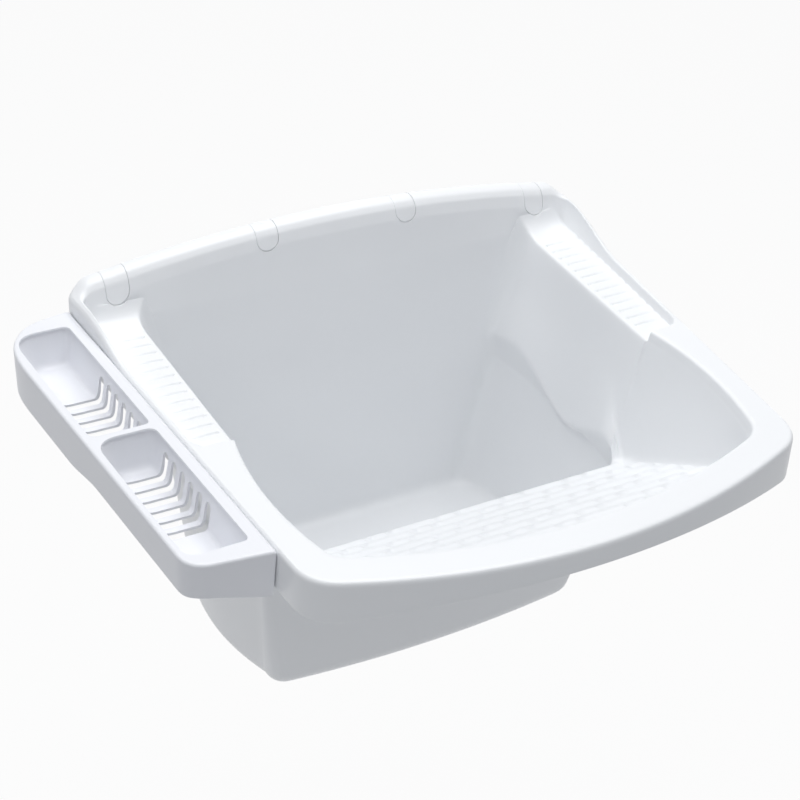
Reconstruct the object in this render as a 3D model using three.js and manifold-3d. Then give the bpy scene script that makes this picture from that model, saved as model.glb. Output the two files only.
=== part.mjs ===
// A wall-hung utility laundry tank in white moulded plastic, with a washboard, two soap ledges,
// a clip-on accessory tray at its left, four snap covers over its wall screws, and a waste with a plug.
// Millimetres, +Z up. The wall is the plane y = 0, the user stands at -y, and the flat rim lies at z = 0.

import * as THREE from 'three';
import { mergeVertices } from 'three/addons/utils/BufferGeometryUtils.js';
import Module from 'manifold-3d';

const wasm = await Module();
wasm.setup();

// ---------------------------------------------------------------- driving dimensions

const wall = 3.2;                 // moulded wall of the basin
const gap = 0.3;                  // running gap between pieces that touch

// rim and skirt, in plan
const halfWidthAtWall = 290;      // half the basin's width at the wall
const sideTaper = 0.0744;         // how fast each side closes in towards the front
const frontReach = 534;           // wall to the middle of the front edge
const frontBow = 54;              // how far the front edge falls back 250 mm from the middle
const frontBowSpan = 250;
const frontCornerRound = 26;
const rimEdgeRound = 3;           // rounding of the rim's outer edge
const skirtMid = 22;              // skirt depth at the middle of the front
const skirtCorner = 42;           // skirt depth at the corners and along the sides
const frontFlare = 2;             // the front skirt leans out by this at its lower edge

// raised ridge along the wall
const crestHeight = 53.5;         // ridge above the rim, at the middle
const crestFall = 24;             // how much lower the ridge is 265 mm from the middle
const crestSpan = 265;
const ridgeEndHeight = 15;        // ridge height at its rounded ends
const ridgeDepth = 38;            // wall face to the bowl's rear wall, at the ledges
const sweepStart = 40;            // the ridge starts to sweep down to the rim here, off the wall
const sweepEnd = 145;             // and has met the rim here

// opening of the bowl at rim level
const frontFlange = 34;           // width of the flat rim at the middle of the front
const frontInnerRise = 45;        // how far the opening's front edge falls back 220 mm from the middle
const frontInnerSpan = 220;
const openingHalf = 235.5;        // widest half opening, between the ledges and the front
const openingAt = 350;            // how far from the wall that is
const openingPinch = 9.5;         // how much the opening narrows 80 mm either way from there
const openingSpan = 80;

// soap ledges
const ledgeRear = 86;             // rear end of the straight part of a ledge, from the wall
const ledgeFront = 275;           // front end of a ledge, from the wall
const ledgeDrop = 11;             // ledge floor below the rim
const ledgeStrip = 6.5;           // rim left between a ledge and the basin's edge
const ledgeInnerHalf = 228;       // half distance between the ledges' inner edges at their rear end
const ledgeInnerTaper = 0.018;
const grooveCount = 13;
const groovePitch = 14.4;
const grooveStart = 74;           // first groove, from the wall
const grooveRadius = 4.5;
const grooveDepth = 1.4;
const grooveInset = 6;            // from the ledge's inner edge to the groove's round end

// washboard
const washSlope = 0.6;            // rise over run
const washDepthAtCrest = 147;     // washboard's rear edge below the rim
const washTopInset = 5;           // washboard's front edge inside the opening's
const crestFromWall = 290;
const washFootHalf = 213;         // half width of the washboard at its foot
const washFootTaper = 0.12;
const ribRows = 8;
const ribPitch = 20.5;            // in plan, from row to row
const ribFirst = 303;             // first row, from the wall
const ribLong = 46;               // long and short ribs take turns along a row
const ribShort = 17;
const ribBreak = 7;               // break between two ribs of a row
const ribWidth = 12;
const ribTop = 5;                 // width of a rib's flat top
const ribHeight = 3.2;
const ribEnd = 5;                 // from a row's end to the side wall
const ribClear = 14;              // from a row's middle line to the front wall

// shoulder line, where the flared upper walls meet the well
const shoulderMean = 145;
const shoulderWave = 21;
const shoulderPeriod = 210;
const shoulderPhase = 78;
const shoulderHalf = 205;
const shoulderBarrel = 13;        // how much narrower the shoulder is 125 mm from its widest place
const shoulderBarrelSpan = 125;
const shoulderCentre = 170;
const shoulderLip = 10;           // height of the rounded step under the shoulder line
const shoulderLipInset = 1.6;
const midWallShare = 0.42;        // how far the upper wall has closed in at the depth below
const midWallDepth = 70;
const footFrom = 235;             // from here, off the wall, the side wall's foot turns to the washboard's
const footTo = 325;               // and has met it here

// well
const wellRear = 47;              // bowl's rear wall at the floor, from the wall
const wellFront = 280;            // front of the floor, from the wall
const wellFrontRise = 11;
const wellFrontSpan = 177;
const wellHalf = 197;             // widest half width of the floor
const wellBarrel = 25;            // how much narrower the floor is 108 mm from there
const wellBarrelSpan = 108;
const wellCentre = 155;
const wellCorner = 16;
const floorDepth = 334;           // floor below the rim
const floorRound = 9;
const floorFall = 0.8;            // fall of the floor's edge from its rounding
const floorGrade = 1;             // fall of the floor to the drain's recess

// drain
const drainFromWall = 165;
const drainRecess = 36;           // radius of the recess that takes the waste flange
const drainRecessDepth = 5;
const drainHole = 21;

// wall fixings, under the covers
const fixingNear = 80;            // the two middle fixings, from the middle
const fixingFar = 242;            // the two outer fixings
const screwBelowCrest = 14;
const screwDropFar = 5;           // the outer screws lie lower by this
const screwShank = 3;             // radius
const screwLength = 22;           // under the head, into a bracket on the wall
const screwHead = 6;              // radius of the head
const screwHeadHeight = 3.6;
const screwHole = 3.6;
const sleeveRadius = 10.5;
const sinkRadius = 7.5;           // counterbore round the head
const sinkFloor = 16;             // wall face to the counterbore's floor
const washerRadius = 7;
const washerHole = 3.3;
const washerThickness = 1.6;

// snap covers over the fixings
const coverWidth = 24;
const coverThickness = 1.8;
const coverTongue = 23;           // tongue's rounded end below the crest, at the middle covers
const coverTongueFar = 29;        // the same at the outer covers

// accessory tray
const trayWidth = 76;
const trayRear = 17;              // from the wall
const trayFront = 431;
const trayWall = 2.6;
const trayDepthRear = 46;
const trayDepthFront = 38;
const trayDepthCorner = 48;       // apron at the corner beside the basin
const trayTubFloor = 38;          // floor of the compartments below the rim
const trayLip = 16;               // depth of the tray's wall beside the basin
const trayOuterBand = 7.5;
const trayInnerBand = 13;
const trayDivider = 8;
const tubRear = 44;               // rear compartment's rear edge, from the wall
const tubMiddle = 227;            // middle of the divider, from the wall
const tubFront = 407;
const traySlots = 6;
const traySlotPitch = 16;
const traySlotWidth = 9.5;
const rearSlotStart = 122;        // first slot of the rear compartment, from the wall
const frontSlotStart = 256;
const traySlotTop = 12;           // upper end of the slots below the rim
const tabWidth = 30;
const tabHeight = 5;
const tabReach = 9;
const tabDrop = 17;               // tab's top below the rim, under the ledges
const tabPlaces = [100, 372];     // from the wall
const seam = 0.4;                 // between the tray and the basin's side

// waste
const wasteFlange = 32;           // radius
const wasteFlangeThickness = 2.4;
const wasteTube = 20;             // outer radius
const wasteBore = 16.5;
const wasteMouth = 18.4;          // bore radius at the flange, where the plug wedges in
const wasteWall = 2;
const wasteLength = 62;
const wasteOutlet = 17;           // radius of the spigot's outside
const wasteSpigot = 34;           // length of the spigot below the threaded tube
const gasketThickness = 2;
const backnutHeight = 14;
const backnutRadius = 31;
const backnutCollar = 4;
const backnutWings = 6;
const backnutWing = 6;
const backnutWingWidth = 7;
const gridDepth = 20;             // grid below the flange
const gridThickness = 1.2;
const gridHole = 2.4;
const gridHoles = 8;
const gridHoleRing = 10.2;
const gridScrew = 2.4;
const gridScrewHead = 5;
const webHalf = 1.3;              // half width of the two webs that carry the grid
const webHeight = 8;
const plugHeight = 13;            // plug's body below the flange
const plugTaper = 9;
const plugRim = 21;
const plugRimHeight = 3;
const plugLug = 8;                // height of the lug that holds the ring
const plugWire = 1.1;
const plugRing = 9;

// ---------------------------------------------------------------- materials

const material = (name, color, roughness, metalness = 0) => {
  const made = new THREE.MeshStandardMaterial({ color, roughness, metalness });
  made.name = name;
  return made;
};
const whiteTank = () => material('tank_plastic', 0xeff0f4, 0.3);
const whiteTray = () => material('tray_plastic', 0xeceef3, 0.32);
const whiteCover = () => material('cover_plastic', 0xeef0f4, 0.32);
const whiteWaste = () => material('waste_plastic', 0xe4e6e8, 0.4);
const blackRubber = () => material('rubber', 0x232426, 0.75);
const steel = () => material('stainless', 0xb9bcc0, 0.3, 1);

// ---------------------------------------------------------------- solids and booleans

// a closed mesh as a solid with its faces pointing out
const toSolid = (geometry) => {
  const bare = geometry.index ? geometry.toNonIndexed() : geometry.clone();
  for (const name of Object.keys(bare.attributes)) {
    if (name !== 'position') bare.deleteAttribute(name);
  }
  const merged = mergeVertices(bare, 1e-4);
  const corners = merged.index.array;
  const triangles = [];
  for (let i = 0; i < corners.length; i += 3) {
    const [a, b, c] = [corners[i], corners[i + 1], corners[i + 2]];
    if (a !== b && b !== c && c !== a) triangles.push([a, b, c]);
  }
  const made = (order) => new wasm.Manifold(new wasm.Mesh({
    numProp: 3,
    vertProperties: new Float32Array(merged.attributes.position.array),
    triVerts: new Uint32Array(order.flat()),
  }));
  const solid = made(triangles);
  return solid.volume() > 0 ? solid : made(triangles.map(([a, b, c]) => [a, c, b]));
};

const toGeometry = (solid) => {
  const mesh = solid.getMesh();
  const geometry = new THREE.BufferGeometry();
  geometry.setAttribute('position', new THREE.BufferAttribute(mesh.vertProperties, 3));
  geometry.setIndex(new THREE.BufferAttribute(mesh.triVerts, 1));
  geometry.computeVertexNormals();
  return geometry;
};

const unite = (solids) => solids.reduce((sum, next) => sum.add(next));
const cutAll = (solid, tools) => tools.reduce((left, tool) => left.subtract(tool), solid);

const part = (name, solid, finish) => {
  const mesh = new THREE.Mesh(toGeometry(solid), finish);
  mesh.name = name;
  return mesh;
};

// a box from its lowest corner to its highest
const box = (low, high) => {
  const geometry = new THREE.BoxGeometry(high[0] - low[0], high[1] - low[1], high[2] - low[2]);
  geometry.translate((low[0] + high[0]) / 2, (low[1] + high[1]) / 2, (low[2] + high[2]) / 2);
  return toSolid(geometry);
};

// a turned piece from its [radius, height] outline, about an axis along Y or Z through a place
const turned = (axis, outline, steps, [x, y, z]) => {
  const onAxis = outline[0][0] === 0 && outline[outline.length - 1][0] === 0;
  const line = onAxis ? outline : [...outline, outline[0]];
  const geometry = new THREE.LatheGeometry(line.map(([r, h]) => new THREE.Vector2(r, h)), steps);
  if (axis === 'z') geometry.rotateX(Math.PI / 2);
  geometry.translate(x, y, z);
  return toSolid(geometry);
};

// a round bar along X, Y or Z between two places on that axis
const bar = (axis, radius, from, to, across, steps = 16) => {
  const geometry = new THREE.CylinderGeometry(radius, radius, Math.abs(to - from), steps);
  const middle = (from + to) / 2;
  if (axis === 'x') geometry.rotateZ(Math.PI / 2).translate(middle, across[0], across[1]);
  if (axis === 'y') geometry.translate(across[0], middle, across[1]);
  if (axis === 'z') geometry.rotateX(Math.PI / 2).translate(across[0], across[1], middle);
  return toSolid(geometry);
};

// a closed solid through rings with equal counts of points: the last ring joins the first, or each end gets
// a lid, a fan about its middle or a strip whose points face each other two by two
const skin = (rings, lid = 'none') => {
  const count = rings[0].length;
  const points = [...rings.flat()];
  const index = [];
  const bands = lid === 'none' ? rings.length : rings.length - 1;
  for (let r = 0; r < bands; r += 1) {
    const next = (r + 1) % rings.length;
    for (let i = 0; i < count; i += 1) {
      const j = (i + 1) % count;
      index.push(r * count + i, next * count + i, next * count + j);
      index.push(r * count + i, next * count + j, r * count + j);
    }
  }
  const close = (r, a, b, c) => {
    if (r === 0) index.push(a, b, c);
    else index.push(a, c, b);
  };
  for (const r of lid === 'none' ? [] : [0, rings.length - 1]) {
    const first = r * count;
    if (lid === 'fan') {
      const middle = [0, 1, 2].map((axis) => rings[r].reduce((sum, point) => sum + point[axis], 0) / count);
      for (let i = 0; i < count; i += 1) close(r, points.length, first + i, first + ((i + 1) % count));
      points.push(middle);
    } else {
      for (let i = 0; i + 1 < count / 2; i += 1) {
        const facing = first + count - 1 - i;
        close(r, first + i, first + i + 1, facing - 1);
        close(r, first + i, facing - 1, facing);
      }
    }
  }
  const geometry = new THREE.BufferGeometry();
  geometry.setAttribute('position', new THREE.Float32BufferAttribute(points.flat(), 3));
  geometry.setIndex(index);
  return toSolid(geometry);
};

// ---------------------------------------------------------------- curves of the basin

const mix = (a, b, t) => a + (b - a) * t;
const smooth = (t) => {
  const u = Math.min(1, Math.max(0, t));
  return u * u * (3 - 2 * u);
};

const sideEdge = (y) => halfWidthAtWall + sideTaper * y;
const frontEdge = (x) => -frontReach + frontBow * (x / frontBowSpan) ** 2;
const frontOpening = (x) => -frontReach + frontFlange + frontInnerRise * (x / frontInnerSpan) ** 2;
const sideOpening = (y) => openingHalf - openingPinch * ((y + openingAt) / openingSpan) ** 2;
const ledgeInner = (y) => ledgeInnerHalf + ledgeInnerTaper * (y + ledgeRear);
const washFoot = (y) => washFootHalf - washFootTaper * (y + openingAt);
const washPlane = (y) => -washDepthAtCrest - washSlope * (y + crestFromWall);
const shoulderSide = (y) =>
  shoulderHalf - shoulderBarrel * ((y + shoulderCentre) / shoulderBarrelSpan) ** 2;
const shoulderHeight = (y) =>
  -shoulderMean + shoulderWave * Math.cos((2 * Math.PI * (y + shoulderPhase)) / shoulderPeriod);
const wellSide = (y) => wellHalf - wellBarrel * ((y + wellCentre) / wellBarrelSpan) ** 2;
const wellFrontEdge = (x) => -wellFront + wellFrontRise * (x / wellFrontSpan) ** 2;

// height of the ridge's crest over the middle, falling to its rounded ends
const ridgeTop = (x) => {
  const far = Math.abs(x);
  const arch = crestHeight - crestFall * (Math.min(far, crestSpan) / crestSpan) ** 2;
  const end = smooth((far - crestSpan) / (halfWidthAtWall - crestSpan));
  return mix(arch, ridgeEndHeight, end);
};
const sweep = (y) => 1 - smooth((-y - sweepStart) / (sweepEnd - sweepStart));
const rimTop = (x, y) => sweep(y) * ridgeTop(x);

const skirtDepth = (x, y) => {
  const corner = smooth((-y - ledgeFront) / (frontReach - ledgeFront));
  return mix(skirtCorner, skirtMid + (skirtCorner - skirtMid) * Math.min(1, (x / 240) ** 2), corner);
};

// ---------------------------------------------------------------- stations round a ring

const rearSteps = 6;
const cornerSteps = 3;
const shoulderSteps = 3;
const wellSteps = 8;
const washSteps = 6;
const frontSteps = 6;

const bend = (from, corner, to, t) => [
  mix(mix(from[0], corner[0], t), mix(corner[0], to[0], t), t),
  mix(mix(from[1], corner[1], t), mix(corner[1], to[1], t), t),
];

// where the side line and the front line cross
const crossing = (side, front) => {
  let x = side(-wellFront);
  let y = front(x);
  for (let i = 0; i < 30; i += 1) {
    x = side(y);
    y = front(x);
  }
  return [x, y];
};

// one half of a ring, from the middle of the wall side to the middle of the front, as [x, y, zone, share]
const halfRing = ({ rear, rearRound, side, front, frontRound, wellEnd, low }) => {
  const places = [];
  const cornerX = side(rear);
  for (let k = 0; k <= rearSteps; k += 1) {
    places.push([((cornerX - rearRound) * k) / rearSteps, rear, 'rear', k / rearSteps]);
  }
  const rearFrom = [cornerX - rearRound, rear];
  const rearTo = [side(rear - rearRound), rear - rearRound];
  for (let k = 1; k <= cornerSteps; k += 1) {
    places.push([...bend(rearFrom, [cornerX, rear], rearTo, k / cornerSteps), 'corner', k / cornerSteps]);
  }
  for (let k = 1; k <= shoulderSteps; k += 1) {
    const y = mix(rear - rearRound, -ledgeRear, k / shoulderSteps);
    places.push([side(y), y, 'shoulder', k / shoulderSteps]);
  }
  for (let k = 1; k <= wellSteps; k += 1) {
    const y = mix(-ledgeRear, wellEnd, k / wellSteps);
    places.push([side(y), y, 'well', k / wellSteps]);
  }
  const [frontX, frontY] = crossing(low ? () => side(wellEnd) : side, front);
  const frontFrom = [side(frontY + frontRound), frontY + frontRound];
  const frontTo = [frontX - frontRound, front(frontX - frontRound)];
  if (low) {
    for (let k = 1; k <= cornerSteps; k += 1) {
      const place = bend([side(wellEnd), wellEnd], [frontX, frontY], frontTo, k / cornerSteps);
      places.push([...place, 'frontCorner', k / cornerSteps]);
    }
    const rest = washSteps + 1 + frontSteps;
    for (let k = 1; k <= rest; k += 1) {
      const x = mix(frontTo[0], 0, k / rest);
      places.push([x, front(x), 'front', k / rest]);
    }
    return places;
  }
  const washStart = -ledgeFront - 1;
  for (let k = 0; k <= washSteps; k += 1) {
    const y = mix(washStart, frontFrom[1], k / washSteps);
    places.push([side(y), y, 'wash', k / washSteps]);
  }
  for (let k = 1; k <= cornerSteps; k += 1) {
    const place = bend(frontFrom, [frontX, frontY], frontTo, k / cornerSteps);
    places.push([...place, 'frontCorner', k / cornerSteps]);
  }
  for (let k = 1; k <= frontSteps; k += 1) {
    const x = mix(frontTo[0], 0, k / frontSteps);
    places.push([x, front(x), 'front', k / frontSteps]);
  }
  return places;
};

// a whole ring: the half and its mirror image, with a height for every place
const ring = (spec) => {
  const half = halfRing(spec).map(([x, y, zone, share]) => [x, y, spec.height(x, y, zone, share)]);
  const mirrored = half.slice(1, -1).reverse().map(([x, y, z]) => [-x, y, z]);
  return [...half, ...mirrored];
};

// a ring that lies inside the rim's outline by an inset
const rimRing = (inset, rear, height, frontInset = inset) => ring({
  rear,
  rearRound: 14,
  side: (y) => sideEdge(y) - inset,
  front: (x) => frontEdge(x) + frontInset,
  frontRound: frontCornerRound,
  wellEnd: -ledgeFront + 1,
  height,
});

// a ring that follows the ledges beside the well and the bowl's opening in front of them
const openingRing = (ledgeSide, openingIn, rear, height) => ring({
  rear,
  rearRound: 18,
  side: (y) => (y > -ledgeFront ? ledgeSide(y) : sideOpening(y) - openingIn),
  front: (x) => frontOpening(x) + openingIn,
  frontRound: 14,
  wellEnd: -ledgeFront + 1,
  height,
});

// a ring of the well, whose front part runs along the washboard's rear edge or the floor's front
const wellRing = (side, rear, front, rearRound, wellEnd, height) => ring({
  rear,
  rearRound,
  side,
  front,
  frontRound: wellCorner,
  wellEnd,
  low: true,
  height,
});

// a round ring about the drain, with its points in the directions of a given ring's points
const drainRing = (guide, radius, height) => guide.map(([x, y]) => {
  const reach = Math.hypot(x, y + drainFromWall);
  return [(x / reach) * radius, -drainFromWall + ((y + drainFromWall) / reach) * radius, height];
});

// the ridge's section over a place x: distance from the wall and height, from its rear edge downwards
const ridgeSection = (x) => {
  const top = ridgeTop(x);
  return [
    [0, top - 10],
    [-3, top - 3],
    [-12, top],
    [-21, top - 2.5],
    [-26, top - 8],
    [-30, top - 20],
  ];
};

const basinSkin = () => {
  const onRidge = (step, fall) => (x, y, zone, share) => {
    const onRear = ridgeSection(x)[step][1];
    if (zone === 'rear') return onRear;
    if (zone === 'corner') return mix(onRear, rimTop(x, y) - fall, share);
    return rimTop(x, y) - fall;
  };
  const skirtBottom = (x, y) => -skirtDepth(x, y);
  const ledgeLevel = (below) => () => -ledgeDrop - below;
  const intoLedge = (step, rimFall, ledgeFall) => (x, y, zone, share) => {
    const onRear = ridgeSection(x)[step][1];
    if (zone === 'rear') return onRear;
    if (zone === 'corner') return mix(onRear, -ledgeFall, smooth(share));
    if (zone === 'shoulder' || zone === 'well') return -ledgeFall;
    return -rimFall;
  };
  const outerFlange = (y) => sideEdge(y) - ledgeStrip;
  const footShare = (y) => smooth((-y - footFrom) / (footTo - footFrom));
  const midWall = (y) => mix(ledgeInner(y), shoulderSide(y), midWallShare);

  const floorRing = (grow, inset, height) => wellRing(
    (y) => wellSide(y) - inset + grow,
    -wellRear - inset + grow,
    (x) => wellFrontEdge(x) + inset - grow,
    wellCorner,
    -wellFront + 30,
    () => height,
  );
  const shoulderRing = (grow, inset, fall) => wellRing(
    (y) => shoulderSide(y) - inset + grow,
    -wellRear + 2 - inset + grow,
    () => -crestFromWall + inset - grow,
    12,
    -crestFromWall + 6,
    (x, y, zone) => {
      if (zone === 'front' || zone === 'frontCorner') return -washDepthAtCrest - fall;
      return shoulderHeight(y) - fall;
    },
  );
  const footRing = (grow) => ring({
    rear: -ridgeDepth - 4 + grow,
    rearRound: 18,
    side: (y) => mix(midWall(y), washFoot(y), footShare(y)) + grow,
    front: (x) => frontOpening(x) + washTopInset - grow,
    frontRound: 14,
    wellEnd: -ledgeFront + 1,
    height: (x, y) => mix(-midWallDepth, washPlane(Math.min(y, -crestFromWall)) - grow, footShare(y)),
  });

  const floorEdge = floorRing(0, floorRound, -floorDepth + floorFall);
  const upper = [
    rimRing(0, 0, skirtBottom, -frontFlare),
    rimRing(0, 0, onRidge(0, rimEdgeRound)),
    rimRing(rimEdgeRound * 0.8, -3, onRidge(1, 0)),
    rimRing(ledgeStrip - 2.5, -12, onRidge(2, 0), 10),
    openingRing((y) => outerFlange(y) + 1, -3, -21, onRidge(3, 0)),
    openingRing(outerFlange, 0, -26, onRidge(4, 1.5)),
    openingRing((y) => outerFlange(y) - 1.5, 1, -30, intoLedge(5, 6, ledgeDrop)),
    openingRing(ledgeInner, 1.6, -ridgeDepth, ledgeLevel(0)),
    openingRing((y) => ledgeInner(y) - 2, 2.6, -ridgeDepth - 0.6, ledgeLevel(4)),
    footRing(0),
    shoulderRing(0, 0, 0),
    shoulderRing(0, shoulderLipInset, shoulderLip),
    floorRing(0, 0, -floorDepth + floorRound),
    floorEdge,
    drainRing(floorEdge, drainRecess, -floorDepth - floorGrade),
    drainRing(floorEdge, drainRecess - 1, -floorDepth - drainRecessDepth),
    drainRing(floorEdge, drainHole, -floorDepth - drainRecessDepth),
  ];
  const lower = [
    rimRing(wall, -wall, skirtBottom, wall - frontFlare),
    rimRing(wall, -wall, onRidge(0, 6)),
    openingRing((y) => outerFlange(y) + 1.8, -wall, -12, (x, y, zone, share) => {
      const onRear = ridgeSection(x)[2][1] - wall;
      if (zone === 'rear') return onRear;
      if (zone === 'corner') return mix(onRear, rimTop(x, y) - 5, share);
      return rimTop(x, y) - 5;
    }),
    openingRing((y) => outerFlange(y) + 1.7, -wall - 0.5, -23, (x, y, zone, share) => {
      const onRear = ridgeSection(x)[4][1] - 2;
      if (zone === 'rear') return onRear;
      if (zone === 'corner') return mix(onRear, -10, share);
      return -10;
    }),
    openingRing((y) => outerFlange(y) + 1.6, -wall, -27, intoLedge(5, 12, ledgeDrop + wall)),
    openingRing((y) => ledgeInner(y) + 1.6, -1.6, -ridgeDepth + wall, ledgeLevel(wall)),
    openingRing((y) => ledgeInner(y) + 0.6, -1, -ridgeDepth - 0.6 + wall, ledgeLevel(4 + wall)),
    footRing(wall),
    shoulderRing(wall, 0, 2),
    shoulderRing(wall, shoulderLipInset, shoulderLip + 2),
    floorRing(wall, 0, -floorDepth + floorRound),
    floorRing(0, floorRound - 2, -floorDepth + floorFall - wall),
    drainRing(floorEdge, drainRecess + wall, -floorDepth - floorGrade - wall),
    drainRing(floorEdge, drainRecess + wall - 1, -floorDepth - drainRecessDepth - wall),
    drainRing(floorEdge, drainHole, -floorDepth - drainRecessDepth - wall),
  ];
  return skin([...upper, ...lower.reverse()]);
};

// ---------------------------------------------------------------- features of the basin

const both = [-1, 1];

// a rib of the washboard: a low bar along X with slanting flanks, lying on the slope
const washRib = (from, to, y) => {
  const sink = 1;
  const height = ribHeight + sink;
  const geometry = new THREE.BoxGeometry(to - from, ribWidth, height);
  const position = geometry.attributes.position;
  const flank = (ribWidth - ribTop) / 2;
  for (let i = 0; i < position.count; i += 1) {
    if (position.getZ(i) > 0) {
      position.setX(i, position.getX(i) - Math.sign(position.getX(i)) * flank);
      position.setY(i, position.getY(i) - Math.sign(position.getY(i)) * flank);
    }
  }
  geometry.translate(0, 0, height / 2 - sink);
  geometry.rotateX(-Math.atan(washSlope));
  geometry.translate((from + to) / 2, y, washPlane(y));
  return toSolid(geometry);
};

const washRibs = () => {
  const ribs = [];
  for (let row = 0; row < ribRows; row += 1) {
    const y = -ribFirst - row * ribPitch;
    const nearOpening = (y - ribClear + frontReach - frontFlange) / frontInnerRise;
    const reach = Math.min(washFoot(y) - ribEnd, frontInnerSpan * Math.sqrt(Math.max(0, nearOpening)));
    const pair = ribLong + ribShort + 2 * ribBreak;
    let from = -3 * pair - (row % 2) * (pair / 2);
    let long = true;
    while (from < reach) {
      const to = from + (long ? ribLong : ribShort);
      const low = Math.max(from, -reach);
      const high = Math.min(to, reach);
      if (high - low > ribWidth) ribs.push(washRib(low, high, y));
      from = to + ribBreak;
      long = !long;
    }
  }
  return ribs;
};

const ledgeGrooves = () => {
  const grooves = [];
  for (const side of both) {
    for (let k = 0; k < grooveCount; k += 1) {
      const y = -grooveStart - k * groovePitch;
      const from = ledgeInner(y) + grooveInset;
      const to = sideEdge(y) - ledgeStrip - 1;
      const height = -ledgeDrop + grooveRadius - grooveDepth;
      grooves.push(bar('x', grooveRadius, side * from, side * to, [y, height], 10));
    }
  }
  return grooves;
};

// the ridge's outer line over a place x, from its rear edge over the crest and down to a given depth
const ridgeLine = (x, lowest) => {
  const section = ridgeSection(x);
  const [lastY, lastZ] = section[section.length - 1];
  const slant = (-ridgeDepth - lastY) / (-ledgeDrop - lastZ);
  return [...section, [lastY + slant * (lowest - lastZ), lowest]];
};

// the same line moved outwards by a distance, square to itself
const offsetLine = (line, distance) => line.map(([y, z], i) => {
  const [beforeY, beforeZ] = line[Math.max(0, i - 1)];
  const [afterY, afterZ] = line[Math.min(line.length - 1, i + 1)];
  const length = Math.hypot(afterY - beforeY, afterZ - beforeZ);
  return [y + (distance * (afterZ - beforeZ)) / length, z + (distance * (beforeY - afterY)) / length];
});

// a strip that wraps the ridge between two distances from its surface, with a rounded lower end
const ridgeStrip = (centre, width, tongue, inner, outer, endGap) => {
  const across = 5;
  const lowest = ridgeTop(centre) - tongue - endGap;
  const rings = [];
  for (let k = 0; k < across; k += 1) {
    const x = centre + width * (k / (across - 1) - 0.5);
    const line = ridgeLine(x, lowest);
    line[0] = [line[0][0], line[0][1] - endGap];
    const outside = offsetLine(line, outer);
    const inside = offsetLine(line, inner).reverse();
    rings.push([...outside, ...inside].map(([y, z]) => [x, y, z]));
  }
  return skin(rings, 'strip');
};

// a prism along Y whose outline is a bar with a round lower end: it trims a cover's tongue
const tongueTrim = (centre, width, tongue, endGap) => {
  const lowest = ridgeTop(centre) - tongue - endGap;
  const half = width / 2;
  const outline = new THREE.Shape();
  outline.moveTo(centre - half, crestHeight + 20);
  outline.lineTo(centre - half, lowest + half);
  outline.absarc(centre, lowest + half, half, Math.PI, 2 * Math.PI, false);
  outline.lineTo(centre + half, crestHeight + 20);
  outline.closePath();
  const depth = 3 * ridgeDepth;
  const geometry = new THREE.ExtrudeGeometry(outline, { depth, bevelEnabled: false, curveSegments: 10 });
  geometry.rotateX(Math.PI / 2);
  geometry.translate(0, ridgeDepth, 0);
  return toSolid(geometry);
};

const fixings = [
  { place: -fixingFar, tongue: coverTongueFar },
  { place: -fixingNear, tongue: coverTongue },
  { place: fixingNear, tongue: coverTongue },
  { place: fixingFar, tongue: coverTongueFar },
];
const screwLevel = (place) => {
  const drop = Math.abs(place) > fixingNear ? screwDropFar : 0;
  return ridgeTop(place) - screwBelowCrest - drop;
};

const coverSeat = ({ place, tongue }, reach) => {
  const width = coverWidth + 2 * gap;
  const strip = ridgeStrip(place, width + 4, tongue, -coverThickness - gap, reach, gap);
  return strip.intersect(tongueTrim(place, width, tongue, gap));
};

// plastic behind each cover: the ridge's wall is set in by the cover's thickness there
const coverBacking = ({ place, tongue }) => {
  const width = coverWidth + 2 * gap + 2 * wall;
  const strip = ridgeStrip(place, width + 4, tongue + wall, -coverThickness - gap - wall, -wall / 2, 0);
  const inside = box([place - width, -ridgeDepth, -skirtCorner], [place + width, -wall / 2, crestHeight]);
  return strip.intersect(tongueTrim(place, width, tongue + wall, 0)).intersect(inside);
};

const seatY = (z, place) => {
  const line = ridgeLine(place, -ledgeDrop);
  for (let i = 3; i + 1 < line.length; i += 1) {
    const [y0, z0] = line[i];
    const [y1, z1] = line[i + 1];
    if (z <= z0 && z >= z1) return mix(y0, y1, (z0 - z) / (z0 - z1));
  }
  return line[line.length - 1][0];
};

const makeBasin = () => {
  let basin = basinSkin();
  basin = basin.add(unite(washRibs()));
  basin = basin.subtract(unite(ledgeGrooves()));
  for (const fixing of fixings) {
    const { place } = fixing;
    const level = screwLevel(place);
    const face = seatY(level, place);
    basin = basin.add(coverBacking(fixing));
    basin = basin.add(bar('y', sleeveRadius, face + 2 * coverThickness, 0, [place, level], 20));
    basin = basin.subtract(coverSeat(fixing, 8));
    basin = basin.subtract(bar('y', sinkRadius, -3 * ridgeDepth, -sinkFloor, [place, level], 20));
    basin = basin.subtract(bar('y', screwHole, -3 * ridgeDepth, ridgeDepth, [place, level], 16));
  }
  for (const from of tabPlaces) {
    const low = [-halfWidthAtWall - 5, -from - tabWidth / 2 - gap, -tabDrop - tabHeight - gap];
    const high = [-sideEdge(-from) + wall + 4, -from + tabWidth / 2 + gap, -tabDrop + gap];
    basin = basin.subtract(box(low, high));
  }
  return basin;
};

// ---------------------------------------------------------------- covers and wall fixings

const makeCover = ({ place, tongue }) => {
  const strip = ridgeStrip(place, coverWidth + 4, tongue, -coverThickness, 0, 0);
  return strip.intersect(tongueTrim(place, coverWidth, tongue, 0));
};

const seatOfWasher = -sinkFloor - gap;
const seatOfHead = seatOfWasher - washerThickness - gap;

const makeWasher = (place) => turned('y', [
  [washerHole, seatOfWasher - washerThickness],
  [washerRadius, seatOfWasher - washerThickness],
  [washerRadius, seatOfWasher],
  [washerHole, seatOfWasher],
], 16, [place, 0, screwLevel(place)]);

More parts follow.
